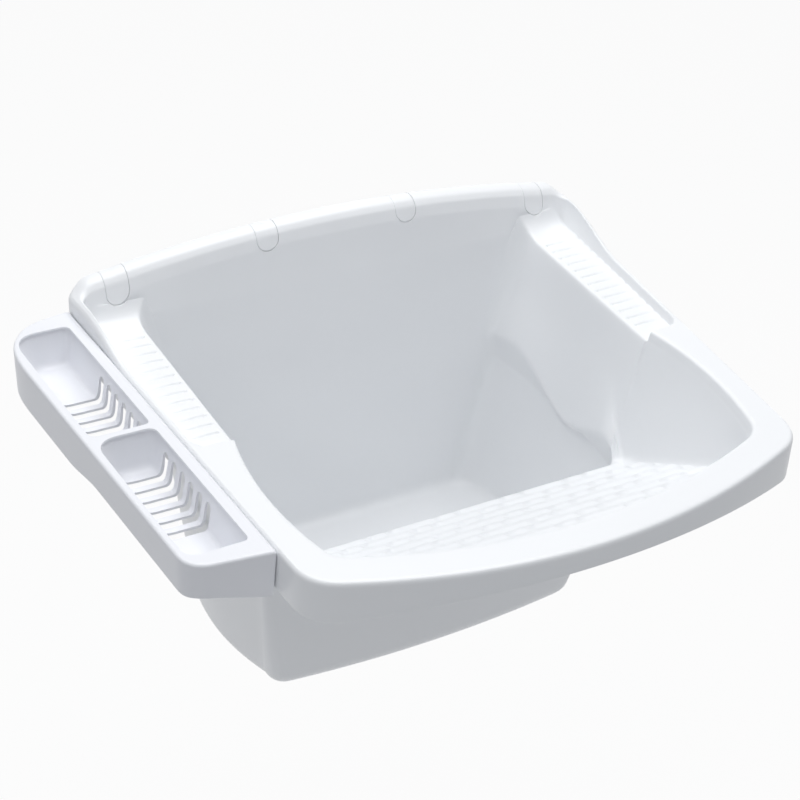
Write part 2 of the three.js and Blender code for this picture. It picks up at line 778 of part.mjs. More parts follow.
const makeScrew = (place) => {
  const level = screwLevel(place);
  const top = seatOfHead - screwHeadHeight;
  const tip = seatOfHead + screwLength;
  const body = turned('y', [
    [0, top],
    [screwHead * 0.72, top],
    [screwHead, top + screwHeadHeight * 0.45],
    [screwHead, seatOfHead],
    [screwShank, seatOfHead],
    [screwShank, tip - 2.5 * screwShank],
    [0, tip],
  ], 16, [place, 0, level]);
  const slot = screwHead * 0.75;
  const slotHalf = screwHeadHeight / 6;
  const slotDepth = screwHeadHeight / 2;
  return cutAll(body, [
    box([place - slot, top - 1, level - slotHalf], [place + slot, top + slotDepth, level + slotHalf]),
    box([place - slotHalf, top - 1, level - slot], [place + slotHalf, top + slotDepth, level + slot]),
  ]);
};

// ---------------------------------------------------------------- accessory tray

const loopEdgeSteps = 5;
const loopCornerSteps = 5;

// a loop through corners [x, y, round], each corner bent by its round and each edge split in steps
const roundLoop = (corners, height) => {
  const loop = [];
  const count = corners.length;
  const towards = (from, to, distance) => {
    const length = Math.hypot(to[0] - from[0], to[1] - from[1]);
    return [mix(from[0], to[0], distance / length), mix(from[1], to[1], distance / length)];
  };
  for (let i = 0; i < count; i += 1) {
    const here = corners[i];
    const before = corners[(i + count - 1) % count];
    const after = corners[(i + 1) % count];
    const bendFrom = towards(here, before, here[2]);
    const bendTo = towards(here, after, here[2]);
    const nextFrom = towards(after, here, after[2]);
    for (let k = 0; k <= loopCornerSteps; k += 1) {
      loop.push(bend(bendFrom, here, bendTo, k / loopCornerSteps));
    }
    for (let k = 1; k < loopEdgeSteps; k += 1) {
      const t = k / loopEdgeSteps;
      loop.push([mix(bendTo[0], nextFrom[0], t), mix(bendTo[1], nextFrom[1], t)]);
    }
  }
  return loop.map(([x, y]) => [x, y, height(x, y)]);
};

const trayNear = (y) => -sideEdge(y) - seam;
const trayFar = (y) => -sideEdge(y) - trayWidth;
const rearSlant = 5;
const frontSlant = 9;
const trayRearRound = 36;
const trayFrontRound = 22;
const smallRound = 3;

const trayLoop = (inset, height) => roundLoop([
  [trayNear(-trayRear) - inset, -trayRear - inset, smallRound],
  [trayFar(-trayRear) + inset, -trayRear - rearSlant - inset, trayRearRound - inset],
  [trayFar(-trayFront) + inset, -trayFront + frontSlant + inset, trayFrontRound - inset],
  [trayNear(-trayFront) - inset, -trayFront + inset, smallRound],
], height);

// depth of the tray's apron: deep at the rear, shallow along the front half, deep again at the seam's corner
const apronStart = 190;
const apronEnd = 250;
const apronRise = 4;              // how much shallower the apron is at the outer front corner
const trayDepth = (x, y) => {
  const along = mix(trayDepthRear, trayDepthFront, smooth((-y - apronStart) / (apronEnd - apronStart)));
  const nearFront = smooth((-y - tubFront) / (trayFront - tubFront));
  const nearSeam = smooth((x - trayFar(y)) / (trayWidth - seam));
  return mix(along, mix(trayDepthFront - apronRise, trayDepthCorner, nearSeam), nearFront);
};

// a compartment's loop, drawn in by its draft and grown by a wall
const tubLoop = ({ from, to, rounds }, draft, grow, height) => roundLoop([
  [trayNear(-from) - trayInnerBand - draft * 0.5 + grow, -from - draft + grow, rounds[0]],
  [trayFar(-from) + trayOuterBand + draft * 1.8 - grow, -from - draft * 1.2 + grow, rounds[1]],
  [trayFar(-to) + trayOuterBand + draft * 1.8 - grow, -to + draft - grow, rounds[2]],
  [trayNear(-to) - trayInnerBand - draft * 0.5 + grow, -to + draft - grow, rounds[3]],
], () => height);

const tubDraft = 8;
const tubFloorRound = 6;
const tubs = [
  { from: tubRear, to: tubMiddle - trayDivider / 2, rounds: [7, 30, 9, 6] },
  { from: tubMiddle + trayDivider / 2, to: tubFront, rounds: [9, 22, 14, 6] },
];

const tubInside = (tub) => skin([
  tubLoop(tub, -0.5, 0, 2),
  tubLoop(tub, tubDraft * 0.7, 0, -trayTubFloor + tubFloorRound),
  tubLoop(tub, tubDraft, 0, -trayTubFloor),
], 'fan');

const tubOutside = (tub) => skin([
  tubLoop(tub, 0, trayWall, -trayWall / 2),
  tubLoop(tub, tubDraft * 0.7, trayWall, -trayTubFloor + tubFloorRound),
  tubLoop(tub, tubDraft, trayWall * 0.8, -trayTubFloor - trayWall),
], 'fan');

const traySlotCuts = (start) => {
  const cuts = [];
  for (let k = 0; k < traySlots; k += 1) {
    const y = -start - k * traySlotPitch;
    const outer = trayFar(y) + trayOuterBand + tubDraft * 1.8 + 2;
    const inner = trayNear(y) - trayInnerBand / 2;
    const low = [outer, y - traySlotWidth / 2, -2 * trayTubFloor];
    const high = [inner, y + traySlotWidth / 2, -traySlotTop];
    cuts.push(box(low, high));
  }
  return cuts;
};

const makeTray = () => {
  const edge = 2;
  const deep = -2 * trayDepthRear;
  const body = skin([
    trayLoop(edge / 2, (x, y) => -trayDepth(x, y)),
    trayLoop(0, () => -edge),
    trayLoop(edge / 3, () => -edge / 3),
    trayLoop(edge, () => 0),
  ], 'fan');
  const hollow = skin([
    trayLoop(trayWall + edge / 2, () => deep),
    trayLoop(trayWall, () => -trayWall),
  ], 'fan');
  const seamSide = box(
    [trayNear(-trayRear) - trayInnerBand / 2, -tubFront, deep],
    [0, -tubRear, -trayLip],
  );
  let tray = body.subtract(hollow).subtract(seamSide);
  tray = tray.add(unite(tubs.map(tubOutside)));
  tray = cutAll(tray, tubs.map(tubInside));
  tray = tray.subtract(unite([...traySlotCuts(rearSlotStart), ...traySlotCuts(frontSlotStart)]));
  for (const from of tabPlaces) {
    const near = trayNear(-from + tabWidth / 2);
    const low = [near - trayWall, -from - tabWidth / 2, -tabDrop - tabHeight];
    const high = [-sideEdge(-from) + wall + tabReach, -from + tabWidth / 2, -tabDrop];
    tray = tray.add(box(low, high)).add(box(low, [near, high[1], -trayWall / 2]));
  }
  return tray;
};

// ---------------------------------------------------------------- waste

const recessFloor = -floorDepth - drainRecessDepth;
const upperGasketBottom = recessFloor + gap;
const flangeBottom = upperGasketBottom + gasketThickness + gap;
const flangeTop = flangeBottom + wasteFlangeThickness;
const lowerGasketTop = recessFloor - wall - gap;
const backnutTop = lowerGasketTop - gasketThickness - gap;
const wasteEnd = flangeBottom - wasteLength;
const gridSeat = flangeTop - gridDepth;
const plugLevel = flangeTop + gap;
const plugEye = plugLevel + plugRimHeight + plugLug * 0.55;
const drainAxis = [0, -drainFromWall, 0];
const wasteSteps = 32;

const makeGasket = (bottom) => turned('z', [
  [wasteTube + gap, bottom],
  [wasteFlange - 1, bottom],
  [wasteFlange - 1, bottom + gasketThickness],
  [wasteTube + gap, bottom + gasketThickness],
], wasteSteps, drainAxis);

const makeWasteBody = () => {
  const shell = turned('z', [
    [wasteMouth, flangeTop],
    [wasteFlange - 1, flangeTop],
    [wasteFlange, flangeTop - 1],
    [wasteFlange, flangeBottom],
    [wasteTube, flangeBottom],
    [wasteTube, wasteEnd + 3],
    [wasteOutlet, wasteEnd],
    [wasteOutlet, wasteEnd - wasteSpigot],
    [wasteOutlet - wasteWall, wasteEnd - wasteSpigot],
    [wasteOutlet - wasteWall, wasteEnd],
    [wasteBore - wasteWall / 2, wasteEnd + 3],
    [wasteBore - wasteWall / 2, gridSeat],
    [wasteBore, gridSeat],
    [wasteBore, flangeTop - plugTaper],
  ], wasteSteps, drainAxis);
  const webTop = gridSeat - gap;
  const webs = unite([
    box(
      [-wasteBore, -drainFromWall - webHalf, webTop - webHeight],
      [wasteBore, -drainFromWall + webHalf, webTop],
    ),
    box(
      [-webHalf, -drainFromWall - wasteBore, webTop - webHeight],
      [webHalf, -drainFromWall + wasteBore, webTop],
    ),
    bar('z', gridScrewHead, webTop - webHeight, webTop, [0, -drainFromWall], 20),
  ]);
  const screwWay = bar('z', gridScrew + gap, webTop - 2 * webHeight, webTop + 2, [0, -drainFromWall]);
  return shell.add(webs).subtract(screwWay);
};

// six wings on a threaded ring, turned by hand
const makeBacknut = () => {
  const bottom = backnutTop - backnutHeight;
  const nut = turned('z', [
    [wasteTube + gap, bottom],
    [backnutRadius - backnutWing, bottom],
    [backnutRadius - backnutWing, backnutTop - backnutCollar],
    [backnutRadius, backnutTop - backnutCollar],
    [backnutRadius, backnutTop],
    [wasteTube + gap, backnutTop],
  ], wasteSteps, drainAxis);
  const wings = [];
  for (let k = 0; k < backnutWings; k += 1) {
    const height = backnutHeight - backnutCollar + 1;
    const wing = new THREE.BoxGeometry(backnutWing + 2, backnutWingWidth, height);
    wing.translate(backnutRadius - backnutWing / 2 - 1, 0, backnutTop - backnutCollar - backnutHeight / 2 + 1);
    wing.rotateZ((2 * Math.PI * k) / backnutWings);
    wing.translate(...drainAxis);
    wings.push(toSolid(wing));
  }
  return nut.add(unite(wings));
};

const makeGrid = () => {
  const disc = turned('z', [
    [gridScrew + gap, gridSeat + gap],
    [wasteBore - gap, gridSeat + gap],
    [wasteBore - gap, gridSeat + gap + gridThickness],
    [gridScrew + gap, gridSeat + gap + gridThickness],
  ], wasteSteps, drainAxis);
  const holes = [];
  for (let k = 0; k < gridHoles; k += 1) {
    const angle = (2 * Math.PI * k) / gridHoles;
    const x = gridHoleRing * Math.cos(angle);
    const y = -drainFromWall + gridHoleRing * Math.sin(angle);
    holes.push(bar('z', gridHole, gridSeat - 2, gridSeat + 2 * gridThickness + 2, [x, y], 12));
  }
  return cutAll(disc, holes);
};

const makeGridScrew = () => {
  const seat = gridSeat + gridThickness + 2 * gap;
  const tip = gridSeat - webHeight - 4;
  return turned('z', [
    [0, tip],
    [gridScrew, tip + gridScrew],
    [gridScrew, seat],
    [gridScrewHead, seat],
    [gridScrewHead, seat + 0.8],
    [gridScrewHead * 0.6, seat + 2.2],
    [0, seat + 2.6],
  ], 16, drainAxis);
};

const makePlug = () => {
  const body = turned('z', [
    [0, plugLevel - plugHeight],
    [wasteBore - 1.3, plugLevel - plugHeight],
    [wasteBore - gap, plugLevel - plugTaper],
    [wasteMouth - gap, plugLevel],
    [plugRim, plugLevel],
    [plugRim, plugLevel + plugRimHeight - 1],
    [plugRim - 1.5, plugLevel + plugRimHeight],
    [0, plugLevel + plugRimHeight],
  ], wasteSteps, drainAxis);
  const lugTop = plugLevel + plugRimHeight + plugLug;
  const lug = box(
    [-plugLug / 2, -drainFromWall - plugLug / 4, plugLevel + 1],
    [plugLug / 2, -drainFromWall + plugLug / 4, lugTop],
  );
  const eyeFrom = -drainFromWall - plugLug;
  const eyeTo = -drainFromWall + plugLug;
  const eye = bar('y', plugWire + 2 * gap, eyeFrom, eyeTo, [0, plugEye], 12);
  return body.add(lug).subtract(eye);
};

// the pull ring hangs in the lug's eye and rests on the plug's rim
const makePlugRing = () => {
  const sides = 8;
  const section = [];
  for (let k = 0; k <= sides; k += 1) {
    const angle = (2 * Math.PI * (k % sides)) / sides;
    section.push(new THREE.Vector2(plugRing + plugWire * Math.cos(angle), plugWire * Math.sin(angle)));
  }
  const drop = plugEye - plugLevel - plugRimHeight - plugWire - gap;
  const geometry = new THREE.LatheGeometry(section, 24);
  geometry.rotateX(Math.PI / 2);
  geometry.translate(plugRing, 0, 0);
  geometry.rotateY(Math.asin(drop / (2 * plugRing)));
  geometry.translate(0, -drainFromWall, plugEye);
  return toSolid(geometry);
};

// ---------------------------------------------------------------- the tank

const tank = new THREE.Group();
tank.name = 'laundry_tank';
tank.add(part('basin', makeBasin(), whiteTank()));
tank.add(part('accessory_tray', makeTray(), whiteTray()));
fixings.forEach((fixing, i) => {
  tank.add(part(`fixing_cover_${i + 1}`, makeCover(fixing), whiteCover()));
  tank.add(part(`wall_screw_${i + 1}`, makeScrew(fixing.place), steel()));
  tank.add(part(`wall_washer_${i + 1}`, makeWasher(fixing.place), steel()));
});
tank.add(part('waste_body', makeWasteBody(), whiteWaste()));
tank.add(part('waste_gasket_upper', makeGasket(upperGasketBottom), blackRubber()));
tank.add(part('waste_gasket_lower', makeGasket(lowerGasketTop - gasketThickness), blackRubber()));
tank.add(part('waste_backnut', makeBacknut(), whiteWaste()));
tank.add(part('waste_grid', makeGrid(), steel()));
tank.add(part('waste_grid_screw', makeGridScrew(), steel()));
tank.add(part('drain_plug', makePlug(), blackRubber()));
tank.add(part('plug_ring', makePlugRing(), steel()));

export default tank;
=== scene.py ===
# %% [markdown]
# # A moulded laundry tank
#
# The object is a wall-hung laundry tank in glossy white plastic: a deep bowl with a sloped washboard, a
# ridge along the wall with four snap covers, two grooved soap ledges and a tray clipped on at its left. The
# frame below brings the engineered solids. This lesson lays a fine, softly rounded skin over each of them.

# %% Load the frame
import functools
import math

import bmesh
import bpy
import numpy as np
from mathutils import Matrix, Vector


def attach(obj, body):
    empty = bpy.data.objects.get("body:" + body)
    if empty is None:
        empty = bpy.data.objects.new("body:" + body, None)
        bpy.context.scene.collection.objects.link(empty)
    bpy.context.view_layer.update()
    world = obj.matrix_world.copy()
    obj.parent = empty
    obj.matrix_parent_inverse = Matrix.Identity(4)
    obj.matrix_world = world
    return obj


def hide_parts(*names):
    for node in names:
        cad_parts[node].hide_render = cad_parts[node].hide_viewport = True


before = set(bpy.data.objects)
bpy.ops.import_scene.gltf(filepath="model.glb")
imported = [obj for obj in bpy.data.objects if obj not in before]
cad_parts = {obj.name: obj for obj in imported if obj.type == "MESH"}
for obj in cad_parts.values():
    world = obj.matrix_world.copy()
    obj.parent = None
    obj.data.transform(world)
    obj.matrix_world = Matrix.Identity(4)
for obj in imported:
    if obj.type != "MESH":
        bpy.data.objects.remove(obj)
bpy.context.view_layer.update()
MM = 0.001  # the sizes below are in millimetres

# %% [markdown]
# ## The camera
#
# The picture was taken from the front left, a little above the rim. The camera stands where the straight
# edges of the basin meet the same lines as in that picture. It is tilted by a few degrees, so its axes are
# built from an azimuth, an elevation and a roll instead of a Track To constraint, which can't roll.

# %% Place the camera
CAMERA_PLACE = Vector((-733.2, -1388.1, 901.7)) * MM
CAMERA_AZIMUTH = math.radians(-31.21)
CAMERA_ELEVATION = math.radians(34.87)
CAMERA_ROLL = math.radians(4.5)
FOCAL_SHARE = 1700.5 / 800  # focal length over the picture's width


def make_camera():
    level = Vector((math.cos(CAMERA_AZIMUTH), math.sin(CAMERA_AZIMUTH), 0))
    back = Vector((
        math.sin(CAMERA_AZIMUTH) * math.cos(CAMERA_ELEVATION),
        -math.cos(CAMERA_AZIMUTH) * math.cos(CAMERA_ELEVATION),
        math.sin(CAMERA_ELEVATION),
    ))
    upright = back.cross(level)
    right = level * math.cos(CAMERA_ROLL) + upright * math.sin(CAMERA_ROLL)
    up = upright * math.cos(CAMERA_ROLL) - level * math.sin(CAMERA_ROLL)
    data = bpy.data.cameras.new("camera")
    data.sensor_width = 36
    data.lens = data.sensor_width * FOCAL_SHARE
    data.clip_start = 0.05
    camera = bpy.data.objects.new("camera", data)
    bpy.context.scene.collection.objects.link(camera)
    turn = Matrix((right, up, back)).transposed().to_4x4()
    camera.matrix_world = Matrix.Translation(CAMERA_PLACE) @ turn
    bpy.context.scene.camera = camera
    return camera


camera = make_camera()
print("camera lens, mm:", round(camera.data.lens, 2))

# %% [markdown]
# ## Sizes
#
# A moulded tank is drawn as a few curves seen from above, each at its own depth. The sizes are in
# millimetres, the way a mould maker writes them, and the mesh builder turns them into metres at the very
# end.

# %% Driving sizes of the basin
WALL = 3.2
GAP = 0.3

HALF_AT_WALL = 290
SIDE_TAPER = 0.0744
FRONT_REACH = 534
FRONT_BOW = 54
FRONT_BOW_SPAN = 250
FRONT_CORNER_ROUND = 26
RIM_EDGE_ROUND = 3
SKIRT_MID = 22
SKIRT_CORNER = 42
SKIRT_SPAN = 240
FRONT_FLARE = 2

CREST_HEIGHT = 53.5
CREST_FALL = 24
CREST_SPAN = 265
RIDGE_END_HEIGHT = 15
RIDGE_DEPTH = 38
RIDGE_END_ROUND = 24
SWEEP_START = 40
SWEEP_END = 145

FRONT_FLANGE = 34
FRONT_INNER_RISE = 45
FRONT_INNER_SPAN = 220
OPENING_HALF = 235.5
OPENING_AT = 350
OPENING_PINCH = 9.5
OPENING_SPAN = 80
OPENING_REAR_ROUND = 18
OPENING_FRONT_ROUND = 14

LEDGE_REAR = 86
LEDGE_FRONT = 275
STEP_HALF = 1  # half the step from the ledge's front end to the washboard
LEDGE_DROP = 11
LEDGE_STRIP = 6.5
LEDGE_INNER_HALF = 228
LEDGE_INNER_TAPER = 0.018
LEDGE_WALL = 4.4  # thicker than the rest, for the grooves
LEDGE_NOSE = 12
SWOOP_RISE = 21
SWOOP_TOP, SWOOP_RUN = 6.7, 3.5  # in turns

WASH_SLOPE = 0.6
WASH_DEPTH_AT_CREST = 147
CREST_FROM_WALL = 290
WASH_FOOT_HALF = 213
WASH_FOOT_TAPER = 0.12
FOOT_FROM, FOOT_TO = 235, 300  # where the line half way down the wall passes to the board's foot
FOOT_LEVEL = 70
FOOT_SHARE = 0.42  # of the way from the ledge's edge to the shoulder
FOOT_BEFORE_RIDGE = 4
FOOT_INSET = 5

SHOULDER_MEAN = 145
SHOULDER_WAVE = 21
SHOULDER_PERIOD = 210
SHOULDER_PHASE = 78
SHOULDER_HALF = 205
SHOULDER_BARREL = 13
SHOULDER_BARREL_SPAN = 125
SHOULDER_CENTRE = 170
SHOULDER_REAR = 45
SHOULDER_ROUND = 12
SHOULDER_UNDER = 7  # how far the wall lies back under the shoulder
SHOULDER_FOOT = 162  # how deep the under-turn reaches at least
CREST_CORNER = 6

WELL_REAR = 47
WELL_FRONT = 280
WELL_FRONT_RISE = 11
WELL_FRONT_SPAN = 177
WELL_FRONT_RUN = 30  # how far behind its front the well's side ends
WELL_HALF = 197
WELL_BARREL = 25
WELL_BARREL_SPAN = 108
WELL_CENTRE = 155
WELL_CORNER = 16
FLOOR_DEPTH = 334
FLOOR_ROUND = 9

DRAIN_FROM_WALL = 165
DRAIN_RECESS = 36
DRAIN_RECESS_DEPTH = 5
DRAIN_HOLE = 21

# %% [markdown]
# ## The basin's curves
#
# Each line of the basin is one small function: how wide the rim is at a place, how high the ridge stands,
# how the shoulder waves. NumPy works them out for a whole row of points at once. Drawing them by hand as
# Bezier curves would look much the same, but a formula keeps both sides alike and can be read.

# %% Curves of the basin


def mix(a, b, t):
    return a + (b - a) * t


def smooth(t):
    u = np.clip(t, 0, 1)
    return u * u * (3 - 2 * u)


def side_edge(y):
    return HALF_AT_WALL + SIDE_TAPER * y


def front_edge(x):
    return -FRONT_REACH + FRONT_BOW * (x / FRONT_BOW_SPAN) ** 2


def front_opening(x):
    return -FRONT_REACH + FRONT_FLANGE + FRONT_INNER_RISE * (x / FRONT_INNER_SPAN) ** 2


def side_opening(y):
    return OPENING_HALF - OPENING_PINCH * ((y + OPENING_AT) / OPENING_SPAN) ** 2


def ledge_inner(y):
    return LEDGE_INNER_HALF + LEDGE_INNER_TAPER * (y + LEDGE_REAR)


def wash_foot(y):
    return WASH_FOOT_HALF - WASH_FOOT_TAPER * (y + OPENING_AT)


def wash_plane(y):
    return -WASH_DEPTH_AT_CREST - WASH_SLOPE * (y + CREST_FROM_WALL)


def shoulder_side(y):
    return SHOULDER_HALF - SHOULDER_BARREL * ((y + SHOULDER_CENTRE) / SHOULDER_BARREL_SPAN) ** 2


def shoulder_height(y):
    return -SHOULDER_MEAN + SHOULDER_WAVE * np.cos(2 * np.pi * (y + SHOULDER_PHASE) / SHOULDER_PERIOD)


def well_side(y):
    return WELL_HALF - WELL_BARREL * ((y + WELL_CENTRE) / WELL_BARREL_SPAN) ** 2


def well_front_edge(x):
    return -WELL_FRONT + WELL_FRONT_RISE * (x / WELL_FRONT_SPAN) ** 2


def ridge_top(x):
    far = np.abs(x)
    arch = CREST_HEIGHT - CREST_FALL * (np.minimum(far, CREST_SPAN) / CREST_SPAN) ** 2
    end = smooth((far - CREST_SPAN) / (HALF_AT_WALL - CREST_SPAN))
    return mix(arch, RIDGE_END_HEIGHT, end)


def rim_top(x, y):
    sweep = 1 - smooth((-y - SWEEP_START) / (SWEEP_END - SWEEP_START))
    return sweep * ridge_top(x)


def skirt_depth(x, y):
    corner = smooth((-y - LEDGE_FRONT) / (FRONT_REACH - LEDGE_FRONT))
    front = SKIRT_MID + (SKIRT_CORNER - SKIRT_MID) * np.minimum(1, (x / SKIRT_SPAN) ** 2)
    return mix(SKIRT_CORNER, front, corner)


# the ridge's section: how far each line lies from the wall, and how far under the crest
RIDGE_LINES = [(0, 10), (-3, 3), (-12, 0), (-21, 2.5), (-26, 8), (-30, 20)]

print("crest over the middle and the outer covers, mm:", ridge_top(0.0), round(float(ridge_top(242.0)), 1))

# %% [markdown]
# ## Rings
#
# A basin is a skin drawn through rings, from the skirt's lower edge over the rim and down to the drain, and
# back again along its underside. A ring is measured in turns: 0 is the middle of the wall side and 36 the
# middle of the front, so the same turn lies above itself on every ring. The rings can have any number of
# points, which lets the grooved and ribbed bands be finer than the plain walls.

# %% Zones of a ring, in turns
REAR, CORNER, SHOULDER, WELL, STEP, WASH, FRONT_CORNER, HALF = 6, 9, 12, 20, 21, 27, 30, 36
LOW_CORNER = 23  # on rings below the washboard the front corner ends here


def share(turn, start, end):
    return smooth((turn - start) / (end - start))


def bend(start, corner, end, t):
    first = [mix(start[i], corner[i], t) for i in (0, 1)]
    second = [mix(corner[i], end[i], t) for i in (0, 1)]
    return [mix(first[i], second[i], t) for i in (0, 1)]


def crossing(side, front):
    x, y = side(-WELL_FRONT), 0
    for _ in range(30):
        y = front(x)
        x = side(y)
    return x, y


def ring(rear, rear_round, side, front, front_round, well_end, height, low=False):
    """A closed line round the basin: a function that gives its points at the turns asked for."""
    corner_x = side(rear)
    if low:
        front_x, front_y = side(well_end), front(side(well_end))
    else:
        front_x, front_y = crossing(side, front)
    front_from = (side(front_y + front_round), front_y + front_round)
    front_to = (front_x - front_round, front(front_x - front_round))

    def plan(turn):
        t = np.asarray(turn, float)
        rear_line = ((corner_x - rear_round) * t / REAR, np.full_like(t, rear))
        rear_bend = bend(
            (corner_x - rear_round, rear), (corner_x, rear),
            (side(rear - rear_round), rear - rear_round), (t - REAR) / (CORNER - REAR),
        )
        y_shoulder = mix(rear - rear_round, -LEDGE_REAR, (t - CORNER) / (SHOULDER - CORNER))
        y_well = mix(-LEDGE_REAR, well_end, (t - SHOULDER) / (WELL - SHOULDER))
        pieces = [
            (t <= REAR, *rear_line),
            (t <= CORNER, *rear_bend),
            (t <= SHOULDER, side(y_shoulder), y_shoulder),
            (t <= WELL, side(y_well), y_well),
        ]
        if low:
            x = mix(front_to[0], 0, (t - LOW_CORNER) / (HALF - LOW_CORNER))
            low_bend = bend(
                (side(well_end), well_end), (front_x, front_y), front_to, (t - WELL) / (LOW_CORNER - WELL),
            )
            pieces += [(t <= LOW_CORNER, *low_bend), (t <= HALF, x, front(x))]
        else:
            wash_start = -LEDGE_FRONT - STEP_HALF
            over = smooth(t - WELL)
            y_step = mix(well_end, wash_start, over)
            y_wash = mix(wash_start, front_from[1], (t - STEP) / (WASH - STEP))
            x = mix(front_to[0], 0, (t - FRONT_CORNER) / (HALF - FRONT_CORNER))
            high_bend = bend(
                front_from, (front_x, front_y), front_to, (t - WASH) / (FRONT_CORNER - WASH),
            )
            pieces += [
                (t <= STEP, mix(side(well_end), side(wash_start), over), y_step),
                (t <= WASH, side(y_wash), y_wash),
                (t <= FRONT_CORNER, *high_bend),
                (t <= HALF, x, front(x)),
            ]
        masks = [piece[0] for piece in pieces]
        return (
            np.select(masks, [np.broadcast_to(piece[1], t.shape) for piece in pieces]),
            np.select(masks, [np.broadcast_to(piece[2], t.shape) for piece in pieces]),
        )

    def at(turns):
        half = np.where(turns <= HALF, turns, 2 * HALF - turns)
        x, y = plan(half)
        z = height(x, y, half)
        return np.stack([np.where(turns <= HALF, x, -x), y, np.broadcast_to(z, x.shape)], axis=1)

    return at


def rim_ring(inset, rear, height, front_inset=None):
    front_inset = inset if front_inset is None else front_inset
    return ring(
        rear, RIDGE_END_ROUND, lambda y: side_edge(y) - inset, lambda x: front_edge(x) + front_inset,
        FRONT_CORNER_ROUND, -LEDGE_FRONT + STEP_HALF, height,
    )


def opening_ring(ledge_side, opening_in, rear, height):
    def side(y):
        return np.where(y > -LEDGE_FRONT, ledge_side(y), side_opening(y) - opening_in)

    return ring(
        rear, OPENING_REAR_ROUND, side, lambda x: front_opening(x) + opening_in, OPENING_FRONT_ROUND,
        -LEDGE_FRONT + STEP_HALF, height,
    )


def well_ring(side, rear, front, rear_round, well_end, height, front_round=WELL_CORNER):
    return ring(rear, rear_round, side, front, front_round, well_end, height, low=True)


def drain_ring(guide, radius, height):
    def at(turns):
        x, y, _ = guide(turns).T
        reach = np.hypot(x, y + DRAIN_FROM_WALL)
        along_x, along_y = x / reach, (y + DRAIN_FROM_WALL) / reach
        around = along_x * radius, along_y * radius - DRAIN_FROM_WALL
        return np.stack([*around, np.full_like(x, height)], axis=1)

    return at


print("a ring has", 2 * HALF, "turns, mirrored about the middle")

# %% [markdown]
# ## The basin's rings
#
# Next come the rings themselves, each with the radius that softens its bend. The upper ones are what the
# hand and the water touch. The lower ones follow them a wall's thickness away, so that the basin is a real
# shell.

# %% Heights of the rings


def on_ridge(line, fall):
    def height(x, y, turn):
        return mix(ridge_top(x) - RIDGE_LINES[line][1], rim_top(x, y) - fall, share(turn, REAR, CORNER))

    return height


def swoop(turn):
    """How far a ledge's floor has risen where it runs up to the ridge."""
    along_ledge = 1 - np.clip((turn - SWOOP_TOP) / SWOOP_RUN, 0, 1)
    return SWOOP_RISE * share(turn, REAR, SWOOP_TOP) * along_ledge ** 2


def on_ledge_level(fall):
    return lambda x, y, turn: swoop(turn) - fall


def into_ledge(line, rim_fall, ledge_fall):
    def height(x, y, turn):
        rear = mix(ridge_top(x) - RIDGE_LINES[line][1], -ledge_fall, share(turn, REAR, CORNER))
        return mix(rear, -rim_fall, share(turn, WELL, STEP))

    return height


def level(z):
    return lambda x, y, turn: np.full_like(x, z)


def skirt_bottom(x, y, turn):
    return -skirt_depth(x, y)


def outer_flange(y):
    into_nose = np.clip(-y - (LEDGE_FRONT - LEDGE_NOSE), 0, LEDGE_NOSE - 0.5)
    return side_edge(y) - LEDGE_STRIP - (LEDGE_NOSE - np.sqrt(LEDGE_NOSE ** 2 - into_nose ** 2))


def floor_ring(grow, inset, z):
    return well_ring(
        lambda y: well_side(y) - inset + grow, -WELL_REAR - inset + grow,
        lambda x: well_front_edge(x) + inset - grow, WELL_CORNER, -WELL_FRONT + WELL_FRONT_RUN, level(z),
    )


def shoulder_ring(grow, inset, fall, under=0, top=0):
    """A line along the shoulder's wave and the washboard's crest, never above a top."""
    def height(x, y, turn):
        wave = shoulder_height(y)
        return np.minimum(mix(wave, -WASH_DEPTH_AT_CREST, share(turn, WELL - 1, LOW_CORNER)) - fall, top)

    return well_ring(
        lambda y: shoulder_side(y) + under + grow, -SHOULDER_REAR - inset + grow,
        lambda x: np.full_like(np.asarray(x, float), -CREST_FROM_WALL + inset - grow), SHOULDER_ROUND,
        -CREST_FROM_WALL + CREST_CORNER, height, CREST_CORNER,
    )


def foot_ring(grow):
    """Half way down the bowl at the rear and sides, and the washboard's foot in front."""
    def on_board(y):
        return smooth((-y - FOOT_FROM) / (FOOT_TO - FOOT_FROM))

    def side(y):
        upper_wall = mix(ledge_inner(y), shoulder_side(y), FOOT_SHARE)
        return mix(upper_wall, wash_foot(y), on_board(y)) + grow

    def height(x, y, turn):
        board = wash_plane(np.minimum(y, -CREST_FROM_WALL)) - grow
        return mix(-FOOT_LEVEL, board, on_board(y))

    return ring(
        -RIDGE_DEPTH - FOOT_BEFORE_RIDGE + grow, OPENING_REAR_ROUND, side,
        lambda x: front_opening(x) + FOOT_INSET - grow, OPENING_FRONT_ROUND, -LEDGE_FRONT + STEP_HALF, height,
    )


floor_edge = floor_ring(0, FLOOR_ROUND, -FLOOR_DEPTH + 0.8)

